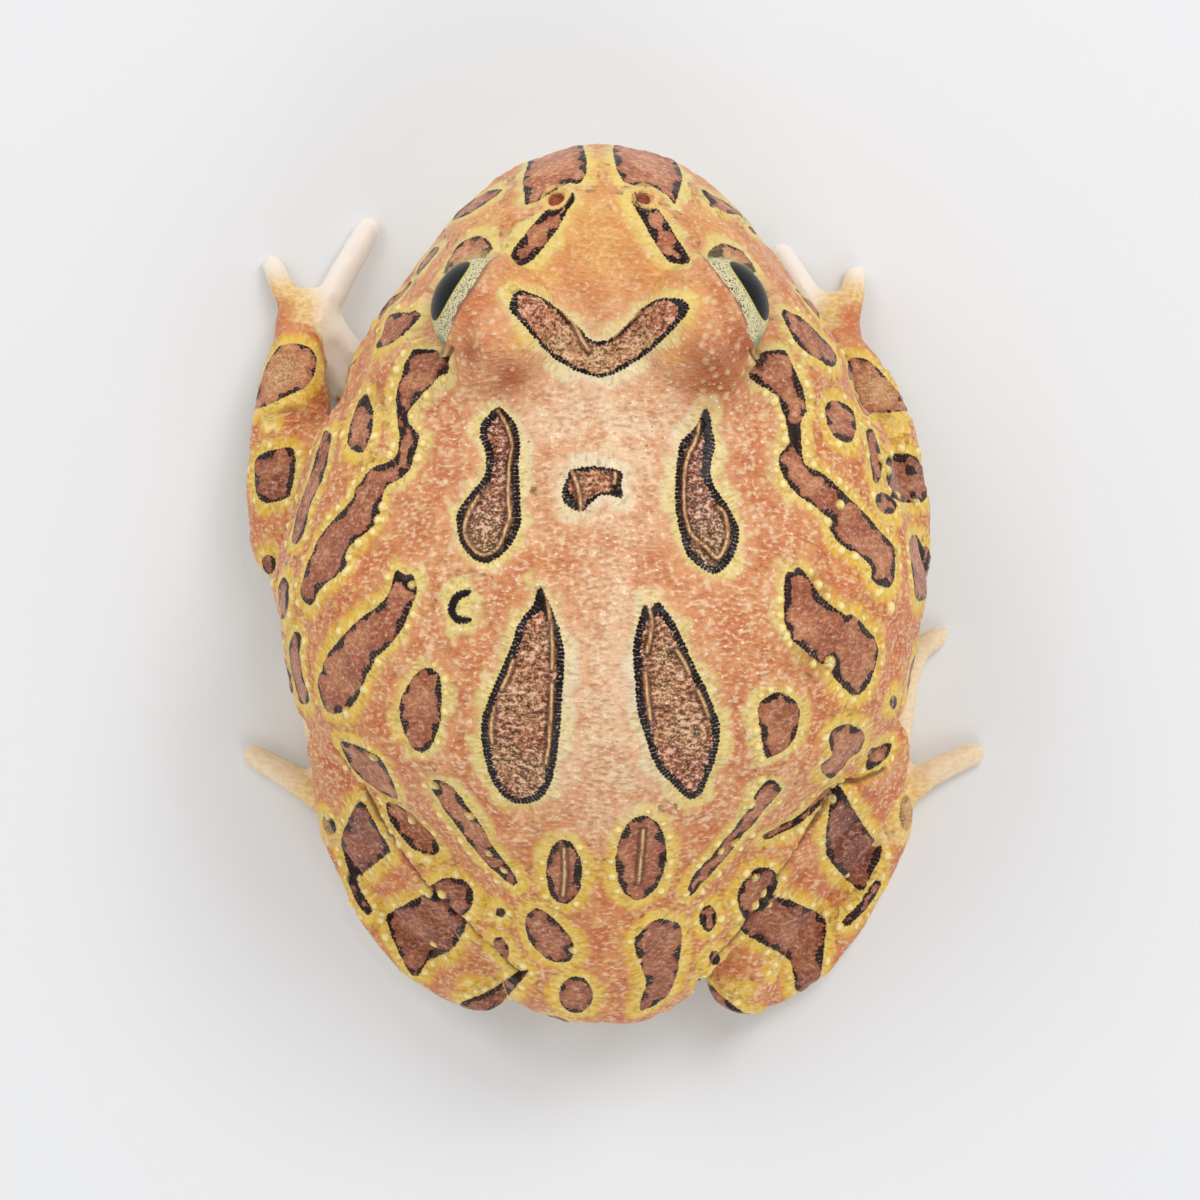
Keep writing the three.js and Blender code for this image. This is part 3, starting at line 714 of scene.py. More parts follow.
# %% Warts
TUBERCLES = [(320, 602, 9), (750, 803, 7), (434, 785, 7), (470, 815, 6), (490, 852, 5), (504, 870, 5),
    (876, 594, 9), (889, 607, 9), (896, 553, 6), (840, 505, 6), (828, 522, 6), (384, 507, 7), (378, 520, 6),
    (346, 573, 6), (350, 558, 5), (412, 585, 5), (830, 663, 8), (785, 636, 7), (840, 695, 6), (853, 699, 5),
    (374, 757, 6), (412, 820, 6), (574, 950, 6), (630, 940, 5), (638, 960, 5), (756, 878, 5), (735, 842, 6),
    (720, 850, 5), (347, 713, 7), (362, 690, 5)]
PIXELS_PER_MM = 9.1
ROW_SPACING = 15.0
ROW_OFFSET = 4.6
ROW_SIZES = (4.0, 7.0)
ROW_SHARE = 0.62
TUBERCLE_HEIGHT, LOW_TUBERCLE_HEIGHT = 0.45, 0.32
WART_SIZES, WART_HEIGHTS = (0.3, 0.6), (0.06, 0.2)
WART_SPACING, CALM_SPACING = 2.1, 3.3

def row_beside(outline):
    """Spots just outside an outline, about evenly spaced, with some left out at random."""
    loop = rounded(outline)
    out = np.roll(loop, -1, 0) - np.roll(loop, 1, 0)
    out = np.stack([out[:, 1], -out[:, 0]], axis=1) / np.linalg.norm(out, axis=1)[:, None]
    turn = np.roll(loop, -1, 0)
    area = (loop[:, 0] * turn[:, 1] - turn[:, 0] * loop[:, 1]).sum()
    run_length = np.cumsum(np.linalg.norm(turn - loop, axis=1))
    chosen = np.flatnonzero(np.diff(run_length // ROW_SPACING, prepend=-1))
    spots = loop + out * ROW_OFFSET * np.sign(area)
    return [(*spots[i], rng.uniform(*ROW_SIZES)) for i in chosen if rng.random() < ROW_SHARE]

tubercles = list(TUBERCLES)
for name, (kind, outline) in BLOTCHES.items():
    if kind in (FLANK, LEG, SHANK) and not name.startswith(("snout", "lip", "elbow")):
        tubercles += row_beside(outline)
wart_places = [tuple(on_skin(top, a, b)) for a, b, size in tubercles]
wart_sizes = [size / PIXELS_PER_MM * 0.95 for a, b, size in tubercles]
wart_heights = [TUBERCLE_HEIGHT if size > 5.8 else LOW_TUBERCLE_HEIGHT for a, b, size in tubercles]

taken = set()
on_back = (skin_normals[:, 2] > -0.2) & (edge > 1.0) & (points[:, 2] > 7) & (place[:, 1] > -50)
on_back = np.flatnonzero(on_back)
for index in rng.permutation(on_back):
    x, y = place[index, :2]
    smooth_zone = (abs(x) < 11 and y < 12) or y < -34
    cell = tuple((points[index] // (CALM_SPACING if smooth_zone else WART_SPACING)).astype(int))
    if cell not in taken:
        taken.add(cell)
        wart_places.append(tuple(points[index]))
        wart_sizes.append(rng.uniform(*WART_SIZES) * (0.7 if smooth_zone else 1.0))
        wart_heights.append(rng.uniform(*WART_HEIGHTS) * (0.5 if smooth_zone else 1.0))
wart_tree = KDTree(len(wart_places))
for i, centre in enumerate(wart_places):
    wart_tree.insert(centre, i)
wart_tree.balance()
found = [wart_tree.find(p) for p in points]
wart_index = np.array([f[1] for f in found])
wart_gap = np.array([f[2] for f in found]) / np.array(wart_sizes)[wart_index]
wart_gap = wart_gap.clip(0, 3)
wart = smooth_step(wart_gap, 1.2, 0.3)
is_tubercle = wart_index < len(tubercles)
wart_gap = np.where(is_tubercle | (edge > 0.4), wart_gap, 3)
wart = np.where(wart_gap < 3, wart, 0)
print("warts:", len(wart_places), "of them tubercles:", len(tubercles))

# %% [markdown]
# Deep creases part the folded legs from the body. Between the markings the skin puckers in fine wrinkles
# that run away from every rim, and across the nape they lie from side to side.

# %% Folds, ridges and wrinkles
CREASES = [
    [(331, 746), (350, 766), (363, 786), (379, 820), (398, 848), (431, 891), (466, 925), (490, 948),
     (510, 967), (521, 975)],
    [(885, 770), (860, 780), (836, 785), (820, 812), (800, 845), (776, 882), (757, 909), (740, 932),
     (722, 952), (708, 968)],
    [(450, 350), (445, 358), (441, 368)],
    [(754, 352), (759, 360), (763, 370)],
]

CORD_HEIGHT, FOLD_DEPTH = 0.34, 0.6
RIM_HEIGHT, FILLING_DEPTH = 0.1, 0.06
BROAD_SWELL, MIDDLE_SWELL, FINE_SWELL = 0.16, 0.07, 0.03
NAPE_WRINKLE, PUCKER = 0.05, 0.06

def lines_over(paths):
    lines = Lines()
    for path in paths:
        lines.add([tuple(on_skin(top, *spot)) for spot in rounded(path, closed=False)], False)
    return lines.measure(points)[0]

fold = lines_over(CREASES)
ridge = lines_over(RIDGES)
seen = smooth_step(skin_normals[:, 2], -0.6, -0.1) * smooth_step(points[:, 2], 2.0, 6.0)
calm = smooth_step(place[:, 1], -30, -22)
nape = smooth_step(np.abs(place[:, 0]), 15, 8) * calm * smooth_step(place[:, 1], 14, 4)
across = np.sin(2 * math.pi * place[:, 1] / 1.25 + 2.2 * waves(points, 5.0, 3)) * nape
pucker = np.sin(2 * math.pi * run / 1.35 + 1.6 * waves(points, 3.0, 4)) * (1 - broken)
pucker *= smooth_step(edge, 0.1, 0.6) * smooth_step(edge, 5.0, 1.5)
lift = wart * np.array(wart_heights)[wart_index]
lift += seen * (BROAD_SWELL * waves(points, 9.0, 11)
                + MIDDLE_SWELL * waves(points, 3.4, 12) * (0.5 + 0.5 * calm))
lift += seen * (NAPE_WRINKLE * across + PUCKER * pucker * (0.35 + 0.65 * calm)
                + FINE_SWELL * waves(points, 1.5, 13))
lift += RIM_HEIGHT * bell(edge + 0.4, 0.45) * traits[:, 1]
lift -= FILLING_DEPTH * smooth_step(edge, -0.9, -1.5)
lift += CORD_HEIGHT * bell(ridge, 0.34) + 0.04 * bell(ridge, 0.9)
lift -= FOLD_DEPTH * bell(fold, 0.42) - 0.12 * bell(fold - 1.0, 0.6)
points = points + skin_normals * lift[:, None]
points[:, 2] = np.maximum(points[:, 2], 0.0)
put_points(skin.data, points)
print("lift from", lift.min().round(2), "to", lift.max().round(2), "mm")

# %% [markdown]
# Colours change over the body in broad fields: a pale back with a painted sheen over the nape, a cream
# belly, pale finger tips, and painted red-brown shade behind the brows. Soft round spots, each a place in
# the picture and a size in its pixels, mark most of them, and each field is kept on the skin as a value.

# %% Spots of colour
WRISTS = {"left_hand": (37.0, -32.6, 3.0), "right_hand": (-29.4, -32.2, 3.0),
          "left_foot": (29.8, 25.6, 2.6), "right_foot": (-33.2, 25.4, 2.6)}
# Painted red-brown shade behind the brow domes, and darker red spots on the right flank
BROW_SHADE_AND_RED_SPOTS = [(512, 376, 16), (715, 372, 32), (742, 348, 16), (470, 352, 10), (815, 655, 20), (812, 590, 16)]
OLIVES = [(482, 540, 26), (716, 540, 24), (602, 362, 26), (560, 345, 16), (570, 335, 12), (645, 345, 14),
    (520, 700, 16), (497, 760, 18), (540, 770, 18), (530, 790, 14), (668, 655, 16), (690, 730, 20),
    (665, 690, 12), (548, 640, 12), (284, 372, 18), (876, 388, 18)]
# The pale back, with a painted sheen over the nape
PALE_AND_SHEEN_SPOTS = [(600, 425, 78), (605, 600, 34), (600, 480, 58), (605, 680, 60), (605, 770, 52), (560, 420, 40),
    (650, 420, 40)]
PORES = [(585, 425, 48), (640, 440, 30), (428, 425, 28), (775, 425, 22), (540, 430, 30)]
RIM_TURNS = ((7.3, 0.4), (4.1, 2.0), (2.6, 4.4))
DARKS = [(512, 304, 7), (524, 327, 5), (540, 349, 5), (558, 364, 5), (580, 374, 4), (625, 371, 5),
    (645, 358, 6), (662, 343, 6), (684, 318, 7), (708, 425, 7), (710, 448, 7), (707, 472, 5), (571, 498, 7),
    (618, 488, 6), (541, 602, 7), (649, 612, 6), (511, 300, 5), (680, 306, 5), (413, 440, 6), (400, 470, 5),
    (377, 510, 5), (350, 556, 6), (365, 403, 5), (410, 582, 7), (400, 632, 6), (790, 574, 6), (846, 690, 6),
    (800, 430, 6), (884, 582, 6)]
GOLDS = [(600, 170, 22), (600, 232, 50), (484, 214, 23), (716, 214, 23), (545, 272, 20), (655, 272, 20),
    (512, 283, 12), (693, 300, 15), (690, 320, 14), (520, 340, 12), (674, 356, 10)]
print("spots:", sum(len(spots) for spots in (BROW_SHADE_AND_RED_SPOTS, OLIVES, PALE_AND_SHEEN_SPOTS, PORES, DARKS, GOLDS)))

# %% Fields of colour
FOOT_PALENESS = 0.5
TRIANGLES = 196000
pixels = to_pixels(points)
upward = smooth_step(skin_normals[:, 2], -0.1, 0.3)

def soft_spots(spots):
    total = np.zeros(len(points))
    for u, v, size in spots:
        total = np.maximum(total, bell(np.hypot(pixels[:, 0] - u, pixels[:, 1] - v), size * 1.15))
    return total * upward

place = body_places(points)
under = smooth_step(skin_normals[:, 2], 0.0, -0.55) * smooth_step(points[:, 2], 17, 8)
under = np.maximum(under, smooth_step(points[:, 2], 3.2, 0.8) * smooth_step(np.abs(place[:, 0]), 27, 22))

def solid_tree(*nodes):
    corners, polygons = [], []
    for node in nodes:
        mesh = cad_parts[node].data
        polygons += [[len(corners) + i for i in polygon.vertices] for polygon in mesh.polygons]
        corners += [vert.co / MM for vert in mesh.vertices]
    return BVHTree.FromPolygons(corners, polygons)

digit = np.zeros(len(points))
low_points = np.flatnonzero(points[:, 2] < 9)
others = solid_tree(*(name for name in FLESH if name not in WRISTS))
gap_to_others = np.array([others.find_nearest(p)[3] for p in points[low_points]])
for node, wrist in WRISTS.items():
    hand = solid_tree(node)
    gap = np.array([hand.find_nearest(p)[3] for p in points[low_points]])
    away = place[low_points] - np.array(wrist)
    belongs = smooth_step(gap - gap_to_others, 0.5, -0.3) * (away[:, 1] < (3.0 if "foot" in node else 9.0))
    reach = np.linalg.norm(away, axis=1)
    whole = FOOT_PALENESS if "foot" in node else 1.0
    digit[low_points] = np.maximum(digit[low_points], whole * smooth_step(reach, 0.8, 9.0) * belongs)
vivid = np.maximum(smooth_step(np.abs(place[:, 0]), 17, 27), smooth_step(place[:, 1], 18, 32))

def keep(mesh, name, values):
    """Stores a number for each point of a mesh, for its finish to read."""
    layer = mesh.attributes.new(name, "FLOAT", "POINT")
    layer.data.foreach_set("value", values.astype(np.float32))

turns = sum(np.sin(2 * math.pi * run / length + start) for length, start in RIM_TURNS)
patchy = 0.5 * np.tanh(1.3 * turns)
beside = smooth_step(wart_gap, 2.9, 1.5) * is_tubercle * (1 - traits[:, 1])
rim_width = traits[:, 2] + patchy * (0.1 + 1.5 * (1 - traits[:, 1]))
rim_width = rim_width + 0.8 * soft_spots(DARKS) + 0.8 * beside
broad = smooth_step(waves(points, 5.5, 21, 40) + 0.6 * waves(points, 2.2, 22, 40), -1.0, 1.0)
FIELDS = {"rim": rim_width, "broad": broad, "edge": edge, "run": run, "flow": 1 - broken,
          "tone": traits[:, 0], "black": traits[:, 1], "ridge": ridge.clip(0, 4), "fold": fold.clip(0, 4),
          "wart": wart_gap, "bright": is_tubercle * 1.0, "calm": smooth_step(place[:, 1], -20, -30),
          "pale": soft_spots(PALE_AND_SHEEN_SPOTS), "olive": soft_spots(OLIVES), "blush": soft_spots(BROW_SHADE_AND_RED_SPOTS),
          "pores": soft_spots(PORES), "gold": soft_spots(GOLDS), "vivid": vivid, "under": under,
          "digit": digit, "upper_lid": upper_lid, "lower_lid": lower_lid, "mouth": mouth,
          "nostril": nostril_ring - nostril_pit}
for name, values in FIELDS.items():
    keep(skin.data, name, values)

worked_in(skin, "DECIMATE", ratio=TRIANGLES / (2 * len(skin.data.polygons)))
for polygon in skin.data.polygons:
    polygon.use_smooth = True
skin.data.calc_loop_triangles()
print("skin:", len(skin.data.loop_triangles), "triangles with", len(skin.data.attributes), "attributes")

# %% [markdown]
# Shader maths reads best as plain expressions, so a small class stands for a socket and turns each
# operator into a Math node.

# %% Expressions for materials
class Socket:
    def __init__(self, finish, socket):
        self.finish = finish
        self.socket = socket

    def math(self, operation, a, b):
        return self.finish.node("ShaderNodeMath", {"operation": operation}, {0: a, 1: b})

    def __add__(self, other):
        return self.math("ADD", self, other)

    def __radd__(self, other):
        return self.math("ADD", other, self)

    def __sub__(self, other):
        return self.math("SUBTRACT", self, other)

    def __rsub__(self, other):
        return self.math("SUBTRACT", other, self)

    def __mul__(self, other):
        return self.math("MULTIPLY", self, other)

    def __rmul__(self, other):
        return self.math("MULTIPLY", other, self)

    def __truediv__(self, other):
        return self.math("DIVIDE", self, other)

    def __neg__(self):
        return self.math("MULTIPLY", self, -1.0)

    def smaller(self, other):
        return self.math("MINIMUM", self, other)

    def step(self, low, high):
        """0 below low and 1 above high, or the other way round, with a smooth rise between."""
        flip = low > high
        settings = {"interpolation_type": "SMOOTHSTEP"}
        ends = (1.0, 0.0) if flip else (0.0, 1.0)
        return self.finish.node("ShaderNodeMapRange", settings, {
            "Value": self, "From Min": min(low, high), "From Max": max(low, high),
            "To Min": ends[0], "To Max": ends[1]})


class Finish:
    """A material whose nodes are added one by one."""

    def __init__(self, name):
        self.material = bpy.data.materials.new(name)
        self.material.use_nodes = True
        self.tree = self.material.node_tree
        self.shader = self.tree.nodes["Principled BSDF"]

    def node(self, kind, settings=None, inputs=None, output=0):
        """One node, with its settings and the values or links of its sockets."""
        node = self.tree.nodes.new(kind)
        for key, value in (settings or {}).items():
            setattr(node, key, value)
        for key, value in (inputs or {}).items():
            self.plug(node.inputs[key], value)
        return Socket(self, node.outputs[output])

    def plug(self, target, value):
        if isinstance(value, Socket):
            self.tree.links.new(value.socket, target)
        else:
            target.default_value = value

    def set(self, **values):
        for name, value in values.items():
            self.plug(self.shader.inputs[name.replace("_", " ")], value)

    def attribute(self, name):
        return self.node("ShaderNodeAttribute", {"attribute_name": name}, output="Fac")

    def places(self):
        return self.node("ShaderNodeTexCoord", output="Object")

    def noise(self, vector, scale, detail=2.0, roughness=0.5):
        return self.node("ShaderNodeTexNoise", {}, {"Vector": vector, "Scale": scale, "Detail": detail,
                                                    "Roughness": roughness}, "Fac")

    def cells(self, vector, scale):
        """Irregular cells: the distance to the middle of each, and a random number for each."""
        distance = self.node("ShaderNodeTexVoronoi", {}, {"Vector": vector, "Scale": scale}, "Distance")
        colour = Socket(self, distance.socket.node.outputs["Color"])
        return distance, self.node("ShaderNodeSeparateColor", {}, {"Color": colour}, "Red")

    def vector(self, x, y, z=0.0):
        return self.node("ShaderNodeCombineXYZ", {}, {"X": x, "Y": y, "Z": z})

    def mix(self, factor, a, b):
        colour = [value if isinstance(value, Socket) else (*value, 1.0) for value in (a, b)]
        return self.node("ShaderNodeMix", {"data_type": "RGBA"}, {0: factor, 6: colour[0], 7: colour[1]}, 2)

    def layers(self, colour, coats):
        """Lays coats over a colour in turn, each with the share it covers and its own colour."""
        for share, coat in coats:
            colour = self.mix(share, colour, coat if isinstance(coat, Socket) else srgb(*coat))
        return colour

    def zigzag(self, value, length):
        """Rises from 0 to 1 over one length, falls back over the next, and so on."""
        return self.node("ShaderNodeMath", {"operation": "PINGPONG"}, {0: value, 1: length}) / length

    def stretched(self, vector, scale):
        return self.node("ShaderNodeVectorMath", {"operation": "MULTIPLY"}, {0: vector, 1: scale})

    def bump(self, height, distance):
        return self.node("ShaderNodeBump", {}, {"Height": height, "Distance": distance})


def srgb(red, green, blue):
    """A colour as a screen shows it, from 0 to 255, as linear light."""
    values = [channel / 255 for channel in (red, green, blue)]
    return tuple(c / 12.92 if c < 0.04045 else ((c + 0.055) / 1.055) ** 2.4 for c in values)

# %% [markdown]
# The skin's finish is grown from the distances kept on it. First come the patterns that everything shares:
# fine wrinkles that run away from each rim, grain, beads along the rims, and small pebbles.

# %% Patterns of the skin
BEAD = 0.23
WRINKLE_SCALE, GRAIN_SCALE, PEBBLE_SCALE = 950.0, 4200.0, 1700.0
WRINKLE_STRETCH = (1.5, 2.5, 1.9)
finish = Finish("moist_skin")
spot = finish.places()
edge_now, run_now, rim_now, tone_now, black_now, flow_now = (
    finish.attribute(name) for name in ("edge", "run", "rim", "tone", "black", "flow"))
vivid_now, pale_and_sheen_now, gold_now, olive_now, broad_now, digit_now = (
    finish.attribute(name) for name in ("vivid", "pale", "gold", "olive", "broad", "digit"))
depth = -edge_now

strand = finish.noise(finish.vector(run_now * 2.4, edge_now * 1.0), 1.0, 1.0, 0.5)
fine = finish.noise(finish.stretched(spot, WRINKLE_STRETCH), WRINKLE_SCALE, 1.0, 0.5)
grain = finish.noise(spot, GRAIN_SCALE, 0.0)
crease = edge_now.step(3.6, 0.8) * edge_now.step(-0.8, 0.0) * flow_now * 0.8
relief = fine + (strand - fine) * crease
# Painted shade in the valleys of the relief and painted highlight on its crests
valley_shade = relief.step(0.48, 0.34)
crest_highlight = relief.step(0.53, 0.66)
bead = finish.zigzag(run_now + strand * 0.4, BEAD)
pebble, pebble_share = finish.cells(spot, PEBBLE_SCALE)
# White glints painted on the pebbles as highlights
glint = pebble.step(0.3, 0.12) * relief.step(0.5, 0.6)
ridge_now = finish.attribute("ridge") + (relief - 0.5) * 0.12
print("patterns:", len(finish.tree.nodes), "nodes")

# %% [markdown]
# Between the markings the skin is orange, redder on the flanks, pale on the back with a painted sheen over
# the nape, and golden on the snout.
# A halo of yellow or cream lies round each marking and fades out in streaks.

# %% Ground between the markings
orange = finish.mix(broad_now, srgb(206, 126, 78), srgb(218, 152, 102))
flank_orange = finish.mix(broad_now, srgb(204, 112, 66), srgb(214, 140, 84))
cream_and_sheen = finish.mix(broad_now, srgb(228, 178, 136), srgb(236, 204, 166))
golden = finish.mix(broad_now, srgb(222, 158, 86), srgb(230, 176, 100))
stray = (strand - 0.5) * 1.7 * flow_now + (broad_now - 0.5) * 1.3
streak = (edge_now + stray * (1 - 0.55 * vivid_now)) * (1.3 - 0.27 * vivid_now)
halo = finish.mix(pale_and_sheen_now, srgb(224, 204, 130), srgb(231, 215, 190))
inner_halo = finish.mix(pale_and_sheen_now, srgb(236, 212, 122), srgb(234, 216, 174))
halo = finish.layers(halo, [
    (vivid_now, (230, 189, 62)),
    (gold_now * 0.7, (232, 192, 78)),
    (streak.step(1.1, 0.2) * 0.45, inner_halo),
])
rough = 1 - finish.attribute("calm") * 0.5
pores = pebble.step(0.3, 0.16) * pebble_share.step(0.16, 0.14) * finish.attribute("pores")
ground = finish.layers(orange, [
    (vivid_now * 0.8, flank_orange),
    # Pale cream of the back, partly a painted sheen over the nape
    (pale_and_sheen_now * 0.92, cream_and_sheen),
    (gold_now * 0.9, golden),
    (streak.step(2.2, 0.8) * 0.94, halo),
    # Painted shade in the relief's valleys, painted highlight on its crests, and painted white glints
    (valley_shade * rough * 0.36, (164, 84, 48)),
    (crest_highlight * rough * 0.44, (255, 232, 196)),
    # Painted red-brown shade behind the brow domes, and darker red on the right flank
    (finish.attribute("blush") * (0.35 + 0.75 * fine), (158, 76, 34)),
    (glint * rough * (0.7 - 0.5 * vivid_now), (255, 244, 226)),
    (ridge_now.step(0.4, 0.1) * 0.5, (244, 206, 160)),
    (pores * 0.85, (116, 40, 26)),
])
print("with the ground:", len(finish.tree.nodes), "nodes")

# %% [markdown]
# A marking has a near-black rim with pale teeth along it, painted highlights where the skin beads, and a
# grainy red-brown filling, coarser on the back, with raised golden cords that carry a painted highlight
# along the crest and painted shadow beside it.

# %% Filling, rims and cords
ragged = depth + (bead - 0.5) * 0.1 * black_now + (strand - 0.5) * 0.34 + (fine - 0.5) * 0.2
inside = ragged.step(-0.05, 0.06)
core = (ragged - rim_now + (grain - 0.5) * 0.5).step(-0.12, 0.14)
dark_fill = finish.mix(broad_now, srgb(116, 54, 36), srgb(158, 88, 60))
light_fill = finish.mix(broad_now, srgb(184, 104, 68), srgb(210, 142, 98))
olive_fill = finish.mix(tone_now, srgb(134, 104, 60), srgb(206, 166, 108))
coarse = 0.2 + 0.75 * black_now * black_now
fill = finish.layers(dark_fill, [
    (tone_now, light_fill),
    (olive_now * 0.55, olive_fill),
    # Painted shade in the relief's valleys, painted highlight on its crests, and painted white glints
    (valley_shade * coarse * 0.85, (60, 26, 20)),
    (pebble.step(0.42, 0.62) * coarse * 0.35, (66, 34, 26)),
    (crest_highlight * coarse * 0.8, (248, 196, 164)),
    (grain.step(0.44, 0.3) * coarse * 0.5, (62, 28, 20)),
    (grain.step(0.6, 0.72) * coarse * 0.45, (246, 204, 168)),
    (olive_now * grain.step(0.54, 0.66) * 0.5, (216, 196, 142)),
    (glint * (0.1 + 0.6 * black_now), (252, 236, 216)),
    ((depth - rim_now).step(1.2, 0.0) * 0.5 * (1 - black_now), (122, 58, 42)),
])
# Pale teeth between the beads of the rim, painted as highlights together with the pebble glints
gap = bead.step(0.3, 0.04) * grain.step(0.42, 0.6) * (0.25 + 0.5 * black_now)
rim_glints = (gap + glint * 0.8).smaller(1.0) * flow_now
rim = finish.layers(srgb(58, 22, 16), [(black_now, (18, 6, 5)), (rim_glints, (208, 178, 162))])
# Golden cord colour, brightest along the crest where a highlight is painted
cord_and_highlight = finish.mix(ridge_now.step(0.2, 0.05), srgb(158, 102, 58), srgb(236, 198, 142))
marking = finish.layers(rim, [
    (core, fill),
    # Painted shadow along both sides of each cord
    (ridge_now.step(0.75, 0.4) * 0.65, (58, 28, 18)),
    (ridge_now.step(0.3, 0.18) * 0.92, cord_and_highlight),
])
print("with the markings:", len(finish.tree.nodes), "nodes")

# %% [markdown]
# Last come the pale warts and the bright tubercles, the cream belly, the pale fingers, the colours of the
# lids and the nostril rings, and painted shade in the leg creases, the mouth groove and the nostril pits.
# One bump, finer than the mesh, goes over all of it.

# %% Warts, belly, hands, lids and mouth
wart_now = finish.attribute("wart") + (grain - 0.5) * 0.3
bright_now = finish.attribute("bright").step(0.4, 0.6)
small_colour = finish.mix(vivid_now, srgb(242, 214, 172), srgb(236, 202, 126))
tubercle_colour = finish.mix(wart_now.step(0.9, 0.4), srgb(226, 182, 92), srgb(248, 230, 158))
wart_colour = finish.mix(bright_now, small_colour, tubercle_colour)
small_share = wart_now.step(1.25, 0.1) * (1 - inside) * 0.6
wart_share = bright_now * wart_now.step(1.15, 0.85) * 0.95 + (1 - bright_now) * small_share
palm = finish.mix(fine.step(0.3, 0.7), srgb(222, 176, 106), srgb(236, 206, 146))
nostril_now = finish.attribute("nostril")
colour = finish.layers(ground, [
    (inside, marking),
    (wart_share, wart_colour),
    (finish.attribute("under") * 0.92, (238, 222, 184)),
    (digit_now.step(0.02, 0.2), palm),
    (digit_now.step(0.2, 0.8), (241, 229, 213)),
    (digit_now.step(0.7, 1.0) * 0.6, (242, 230, 224)),
    # Painted shade in the leg creases
    (finish.attribute("fold").step(0.5, 0.12) * 0.75, (96, 44, 26)),
    # Painted shade in the mouth groove
    (finish.attribute("mouth") * 0.85, (92, 42, 32)),
    (finish.attribute("upper_lid") * 0.8, (112, 62, 54)),
    (finish.attribute("lower_lid") * 0.8, (226, 196, 132)),
    (nostril_now.step(0.3, 0.8) * 0.8, (232, 190, 112)),
    # Painted shade in the nostril pits
    (nostril_now.step(-0.1, -0.5), (160, 80, 52)),
])
beads = bead * inside * (1 - core)
height = (relief * 2.6 + grain * 0.5 + beads * 1.4) * (1.0 - 0.95 * digit_now.step(0.0, 0.5))
finish.set(Base_Color=colour, Roughness=0.28 + 0.26 * grain, Specular_IOR_Level=0.22, Coat_Weight=0.16,
           Coat_Roughness=0.1, Normal=finish.bump(height, 0.00016))
skin.data.materials.clear()
skin.data.materials.append(finish.material)
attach(skin, "root")
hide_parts(*FLESH)
print("skin finish:", len(finish.tree.nodes), "nodes")

# %% [markdown]
# An eyeball is a wet, glossy ball. Its pupil is a wide black oval, tipped a little upwards, in a cream
# iris with fine dark flecks, and a thin yellow line runs round it. The clear cornea bulges over it.

# %% Eyes
PUPIL_RISE = math.radians(24)
PUPIL_HALF_WIDTH = math.radians(39)
PUPIL_HALF_HEIGHT = math.radians(25)
REAR_CORNER = (0.76, 0.617, 0.2)
CORNEA_BULGE = 0.16
BALL_SEGMENTS, BALL_RINGS = 72, 48
FLECK_SCALE, VEIN_SCALE = 6000.0, 1500.0

def ball_mesh(name, radius):
    bm = bmesh.new()
    bmesh.ops.create_uvsphere(bm, u_segments=BALL_SEGMENTS, v_segments=BALL_RINGS, radius=radius * MM)
    return finished(bm, name)

def eyeball(side):
    sign = 1 if side == "left" else -1
    level = eye_axes(side)[0]
    ahead = Vector(level * math.cos(PUPIL_RISE) + np.array([0, 0, math.sin(PUPIL_RISE)]))
    across = Vector((0, 0, 1)).cross(Vector(level)).normalized()
    upright = ahead.cross(across).normalized()
    mesh = ball_mesh(f"{side}_eyeball", EYE_RADIUS)
    ways = points_of(mesh) / EYE_RADIUS
    forward, sideways, up = (ways @ np.array(axis) for axis in (ahead, across, upright))
    wide = np.arctan2(sideways, forward) / PUPIL_HALF_WIDTH
    high = np.arcsin(np.clip(up, -1, 1)) / PUPIL_HALF_HEIGHT
    corner = ways @ (np.array(REAR_CORNER) * (sign, 1, 1))
    for name, values in {"pupil": np.hypot(wide, high), "corner": corner, "height": up}.items():
        keep(mesh, name, values)
    return mesh

def cornea(side):
    """The part of a slightly larger, clear ball that stands in the opening."""
    mesh = ball_mesh(f"{side}_cornea", EYE_RADIUS + CORNEA_BULGE)
    bm = bmesh.new()
    bm.from_mesh(mesh)
    ways = np.array([tuple(vert.co) for vert in bm.verts]) / MM + EYES[side]
    depth = opening_depth(ways, side)[0]
    hidden = [vert for vert, inward in zip(bm.verts, depth) if inward < -0.1]
    bmesh.ops.delete(bm, geom=hidden, context="VERTS")
    bm.to_mesh(mesh)
    bm.free()
    return mesh

def eye_piece(mesh, side, finish):
    mesh.transform(Matrix.Translation(Vector(EYES[side]) * MM))
    for polygon in mesh.polygons:
        polygon.use_smooth = True
    mesh.materials.append(finish.material)
    piece = placed(mesh)
    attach(piece, "root")
    return piece

iris = Finish("wet_eye")
spot = iris.places()
reach = iris.attribute("pupil")
flecks = iris.noise(spot, FLECK_SCALE, 1.0, 0.7)
veins = iris.noise(spot, VEIN_SCALE, 4.0, 0.7)
low_iris = iris.attribute("height").step(-0.1, -0.5)
corner_now = iris.attribute("corner")
ball_colour = iris.layers(srgb(58, 50, 38), [
    (flecks.step(0.37, 0.47), (232, 222, 176)),
    (veins.step(0.40, 0.28) * 0.5, (96, 92, 78)),
    (low_iris * 0.7, (122, 100, 66)),
    (corner_now.step(0.955, 0.99) * flecks.step(0.4, 0.6), (84, 150, 132)),
    (reach.step(1.09, 1.05), (222, 206, 84)),
    (reach.step(1.035, 1.0), (12, 12, 15)),
])
iris.set(Base_Color=ball_colour, Roughness=0.35, Specular_IOR_Level=0.1, Coat_Weight=0.13,
         Coat_Roughness=0.03)

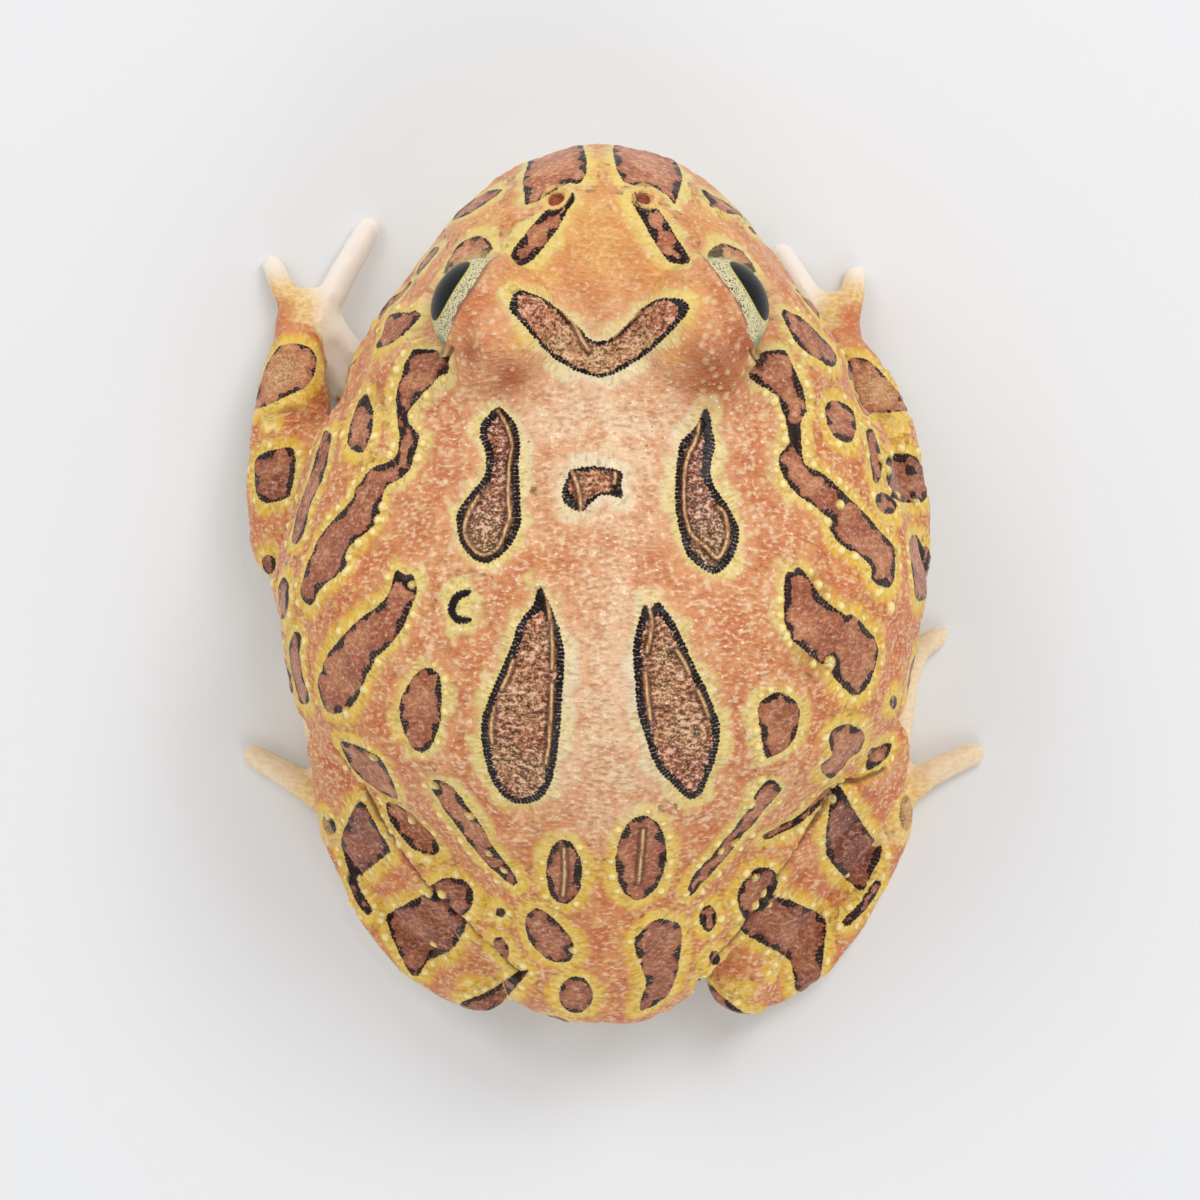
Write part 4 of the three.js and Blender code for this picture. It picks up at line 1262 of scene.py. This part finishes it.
clear = Finish("clear_cornea")
clear.set(Base_Color=(0.02, 0.02, 0.025, 1.0), Roughness=0.02, Alpha=0.1)
for side in EYES:
    ball = eye_piece(eyeball(side), side, iris)
    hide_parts(f"{side}_eye")
    eye_piece(cornea(side), side, clear)
print("eyes made")

# %% [markdown]
# A pale seamless floor and large soft lights, brightest from the front right, as in a product photograph.
# The sky is brightest low down, so that the flanks get light too.

# %% Floor
bm = bmesh.new()
bmesh.ops.create_grid(bm, x_segments=1, y_segments=1, size=3.0)
floor = placed(finished(bm, "floor"))
paper = Finish("pale_paper")
paper.set(Base_Color=(0.805, 0.815, 0.83, 1.0), Roughness=0.9)
floor.data.materials.append(paper.material)
print("floor laid")

# %% Lights
# Place in metres, width in metres and power in watts
LIGHTS = {
    "front_right_softbox": ((-0.50, -0.62, 0.95), 0.50, 4.7),
    "front_left_softbox": ((0.60, -0.45, 0.85), 0.50, 2.3),
    "rear_softbox": ((-0.30, 0.80, 0.85), 0.50, 1.6),
    "glint_lamp": ((-0.15, -0.32, 0.95), 0.10, 0.5),
}
SKY_LOW, SKY_HIGH = 1.20, 0.30
FROG_MIDDLE = Vector((0, 0, 0.02))

def soft_light(name, place, size, power):
    light = bpy.data.lights.new(name, "AREA")
    light.size = size
    light.energy = power
    lamp = placed(light)
    lamp.location = place
    lamp.rotation_euler = (FROG_MIDDLE - Vector(place)).to_track_quat("-Z", "Y").to_euler()

for name, (place, size, power) in LIGHTS.items():
    soft_light(name, place, size, power)
world = bpy.data.worlds.new("studio")
world.use_nodes = True
sky = world.node_tree
sky.nodes["Background"].inputs["Color"].default_value = (1, 1, 1, 1)
ways = sky.nodes.new("ShaderNodeTexCoord")
split = sky.nodes.new("ShaderNodeSeparateXYZ")
fade = sky.nodes.new("ShaderNodeMapRange")
fade.inputs["To Min"].default_value = SKY_LOW
fade.inputs["To Max"].default_value = SKY_HIGH
sky.links.new(ways.outputs["Generated"], split.inputs[0])
sky.links.new(split.outputs["Z"], fade.inputs["Value"])
sky.links.new(fade.outputs[0], sky.nodes["Background"].inputs["Strength"])
bpy.context.scene.world = world
bpy.context.scene.view_settings.view_transform = "Standard"
print("lights:", len(LIGHTS))

# %% [markdown]
# The camera hangs straight over the frog. Its lens follows from how many pixels of the picture one unit of
# width takes at one unit of distance, and a half turn puts the snout at the top.

# %% Camera
camera_data = bpy.data.cameras.new("camera")
camera_data.sensor_width = SENSOR
camera_data.lens = PIXELS_AT_UNIT * SENSOR / PICTURE
camera = placed(camera_data)
camera.location = Vector(ORIGIN) * MM
camera.rotation_euler = (0, 0, math.pi)
bpy.context.scene.camera = camera
print("camera lens, mm:", round(camera_data.lens, 1))
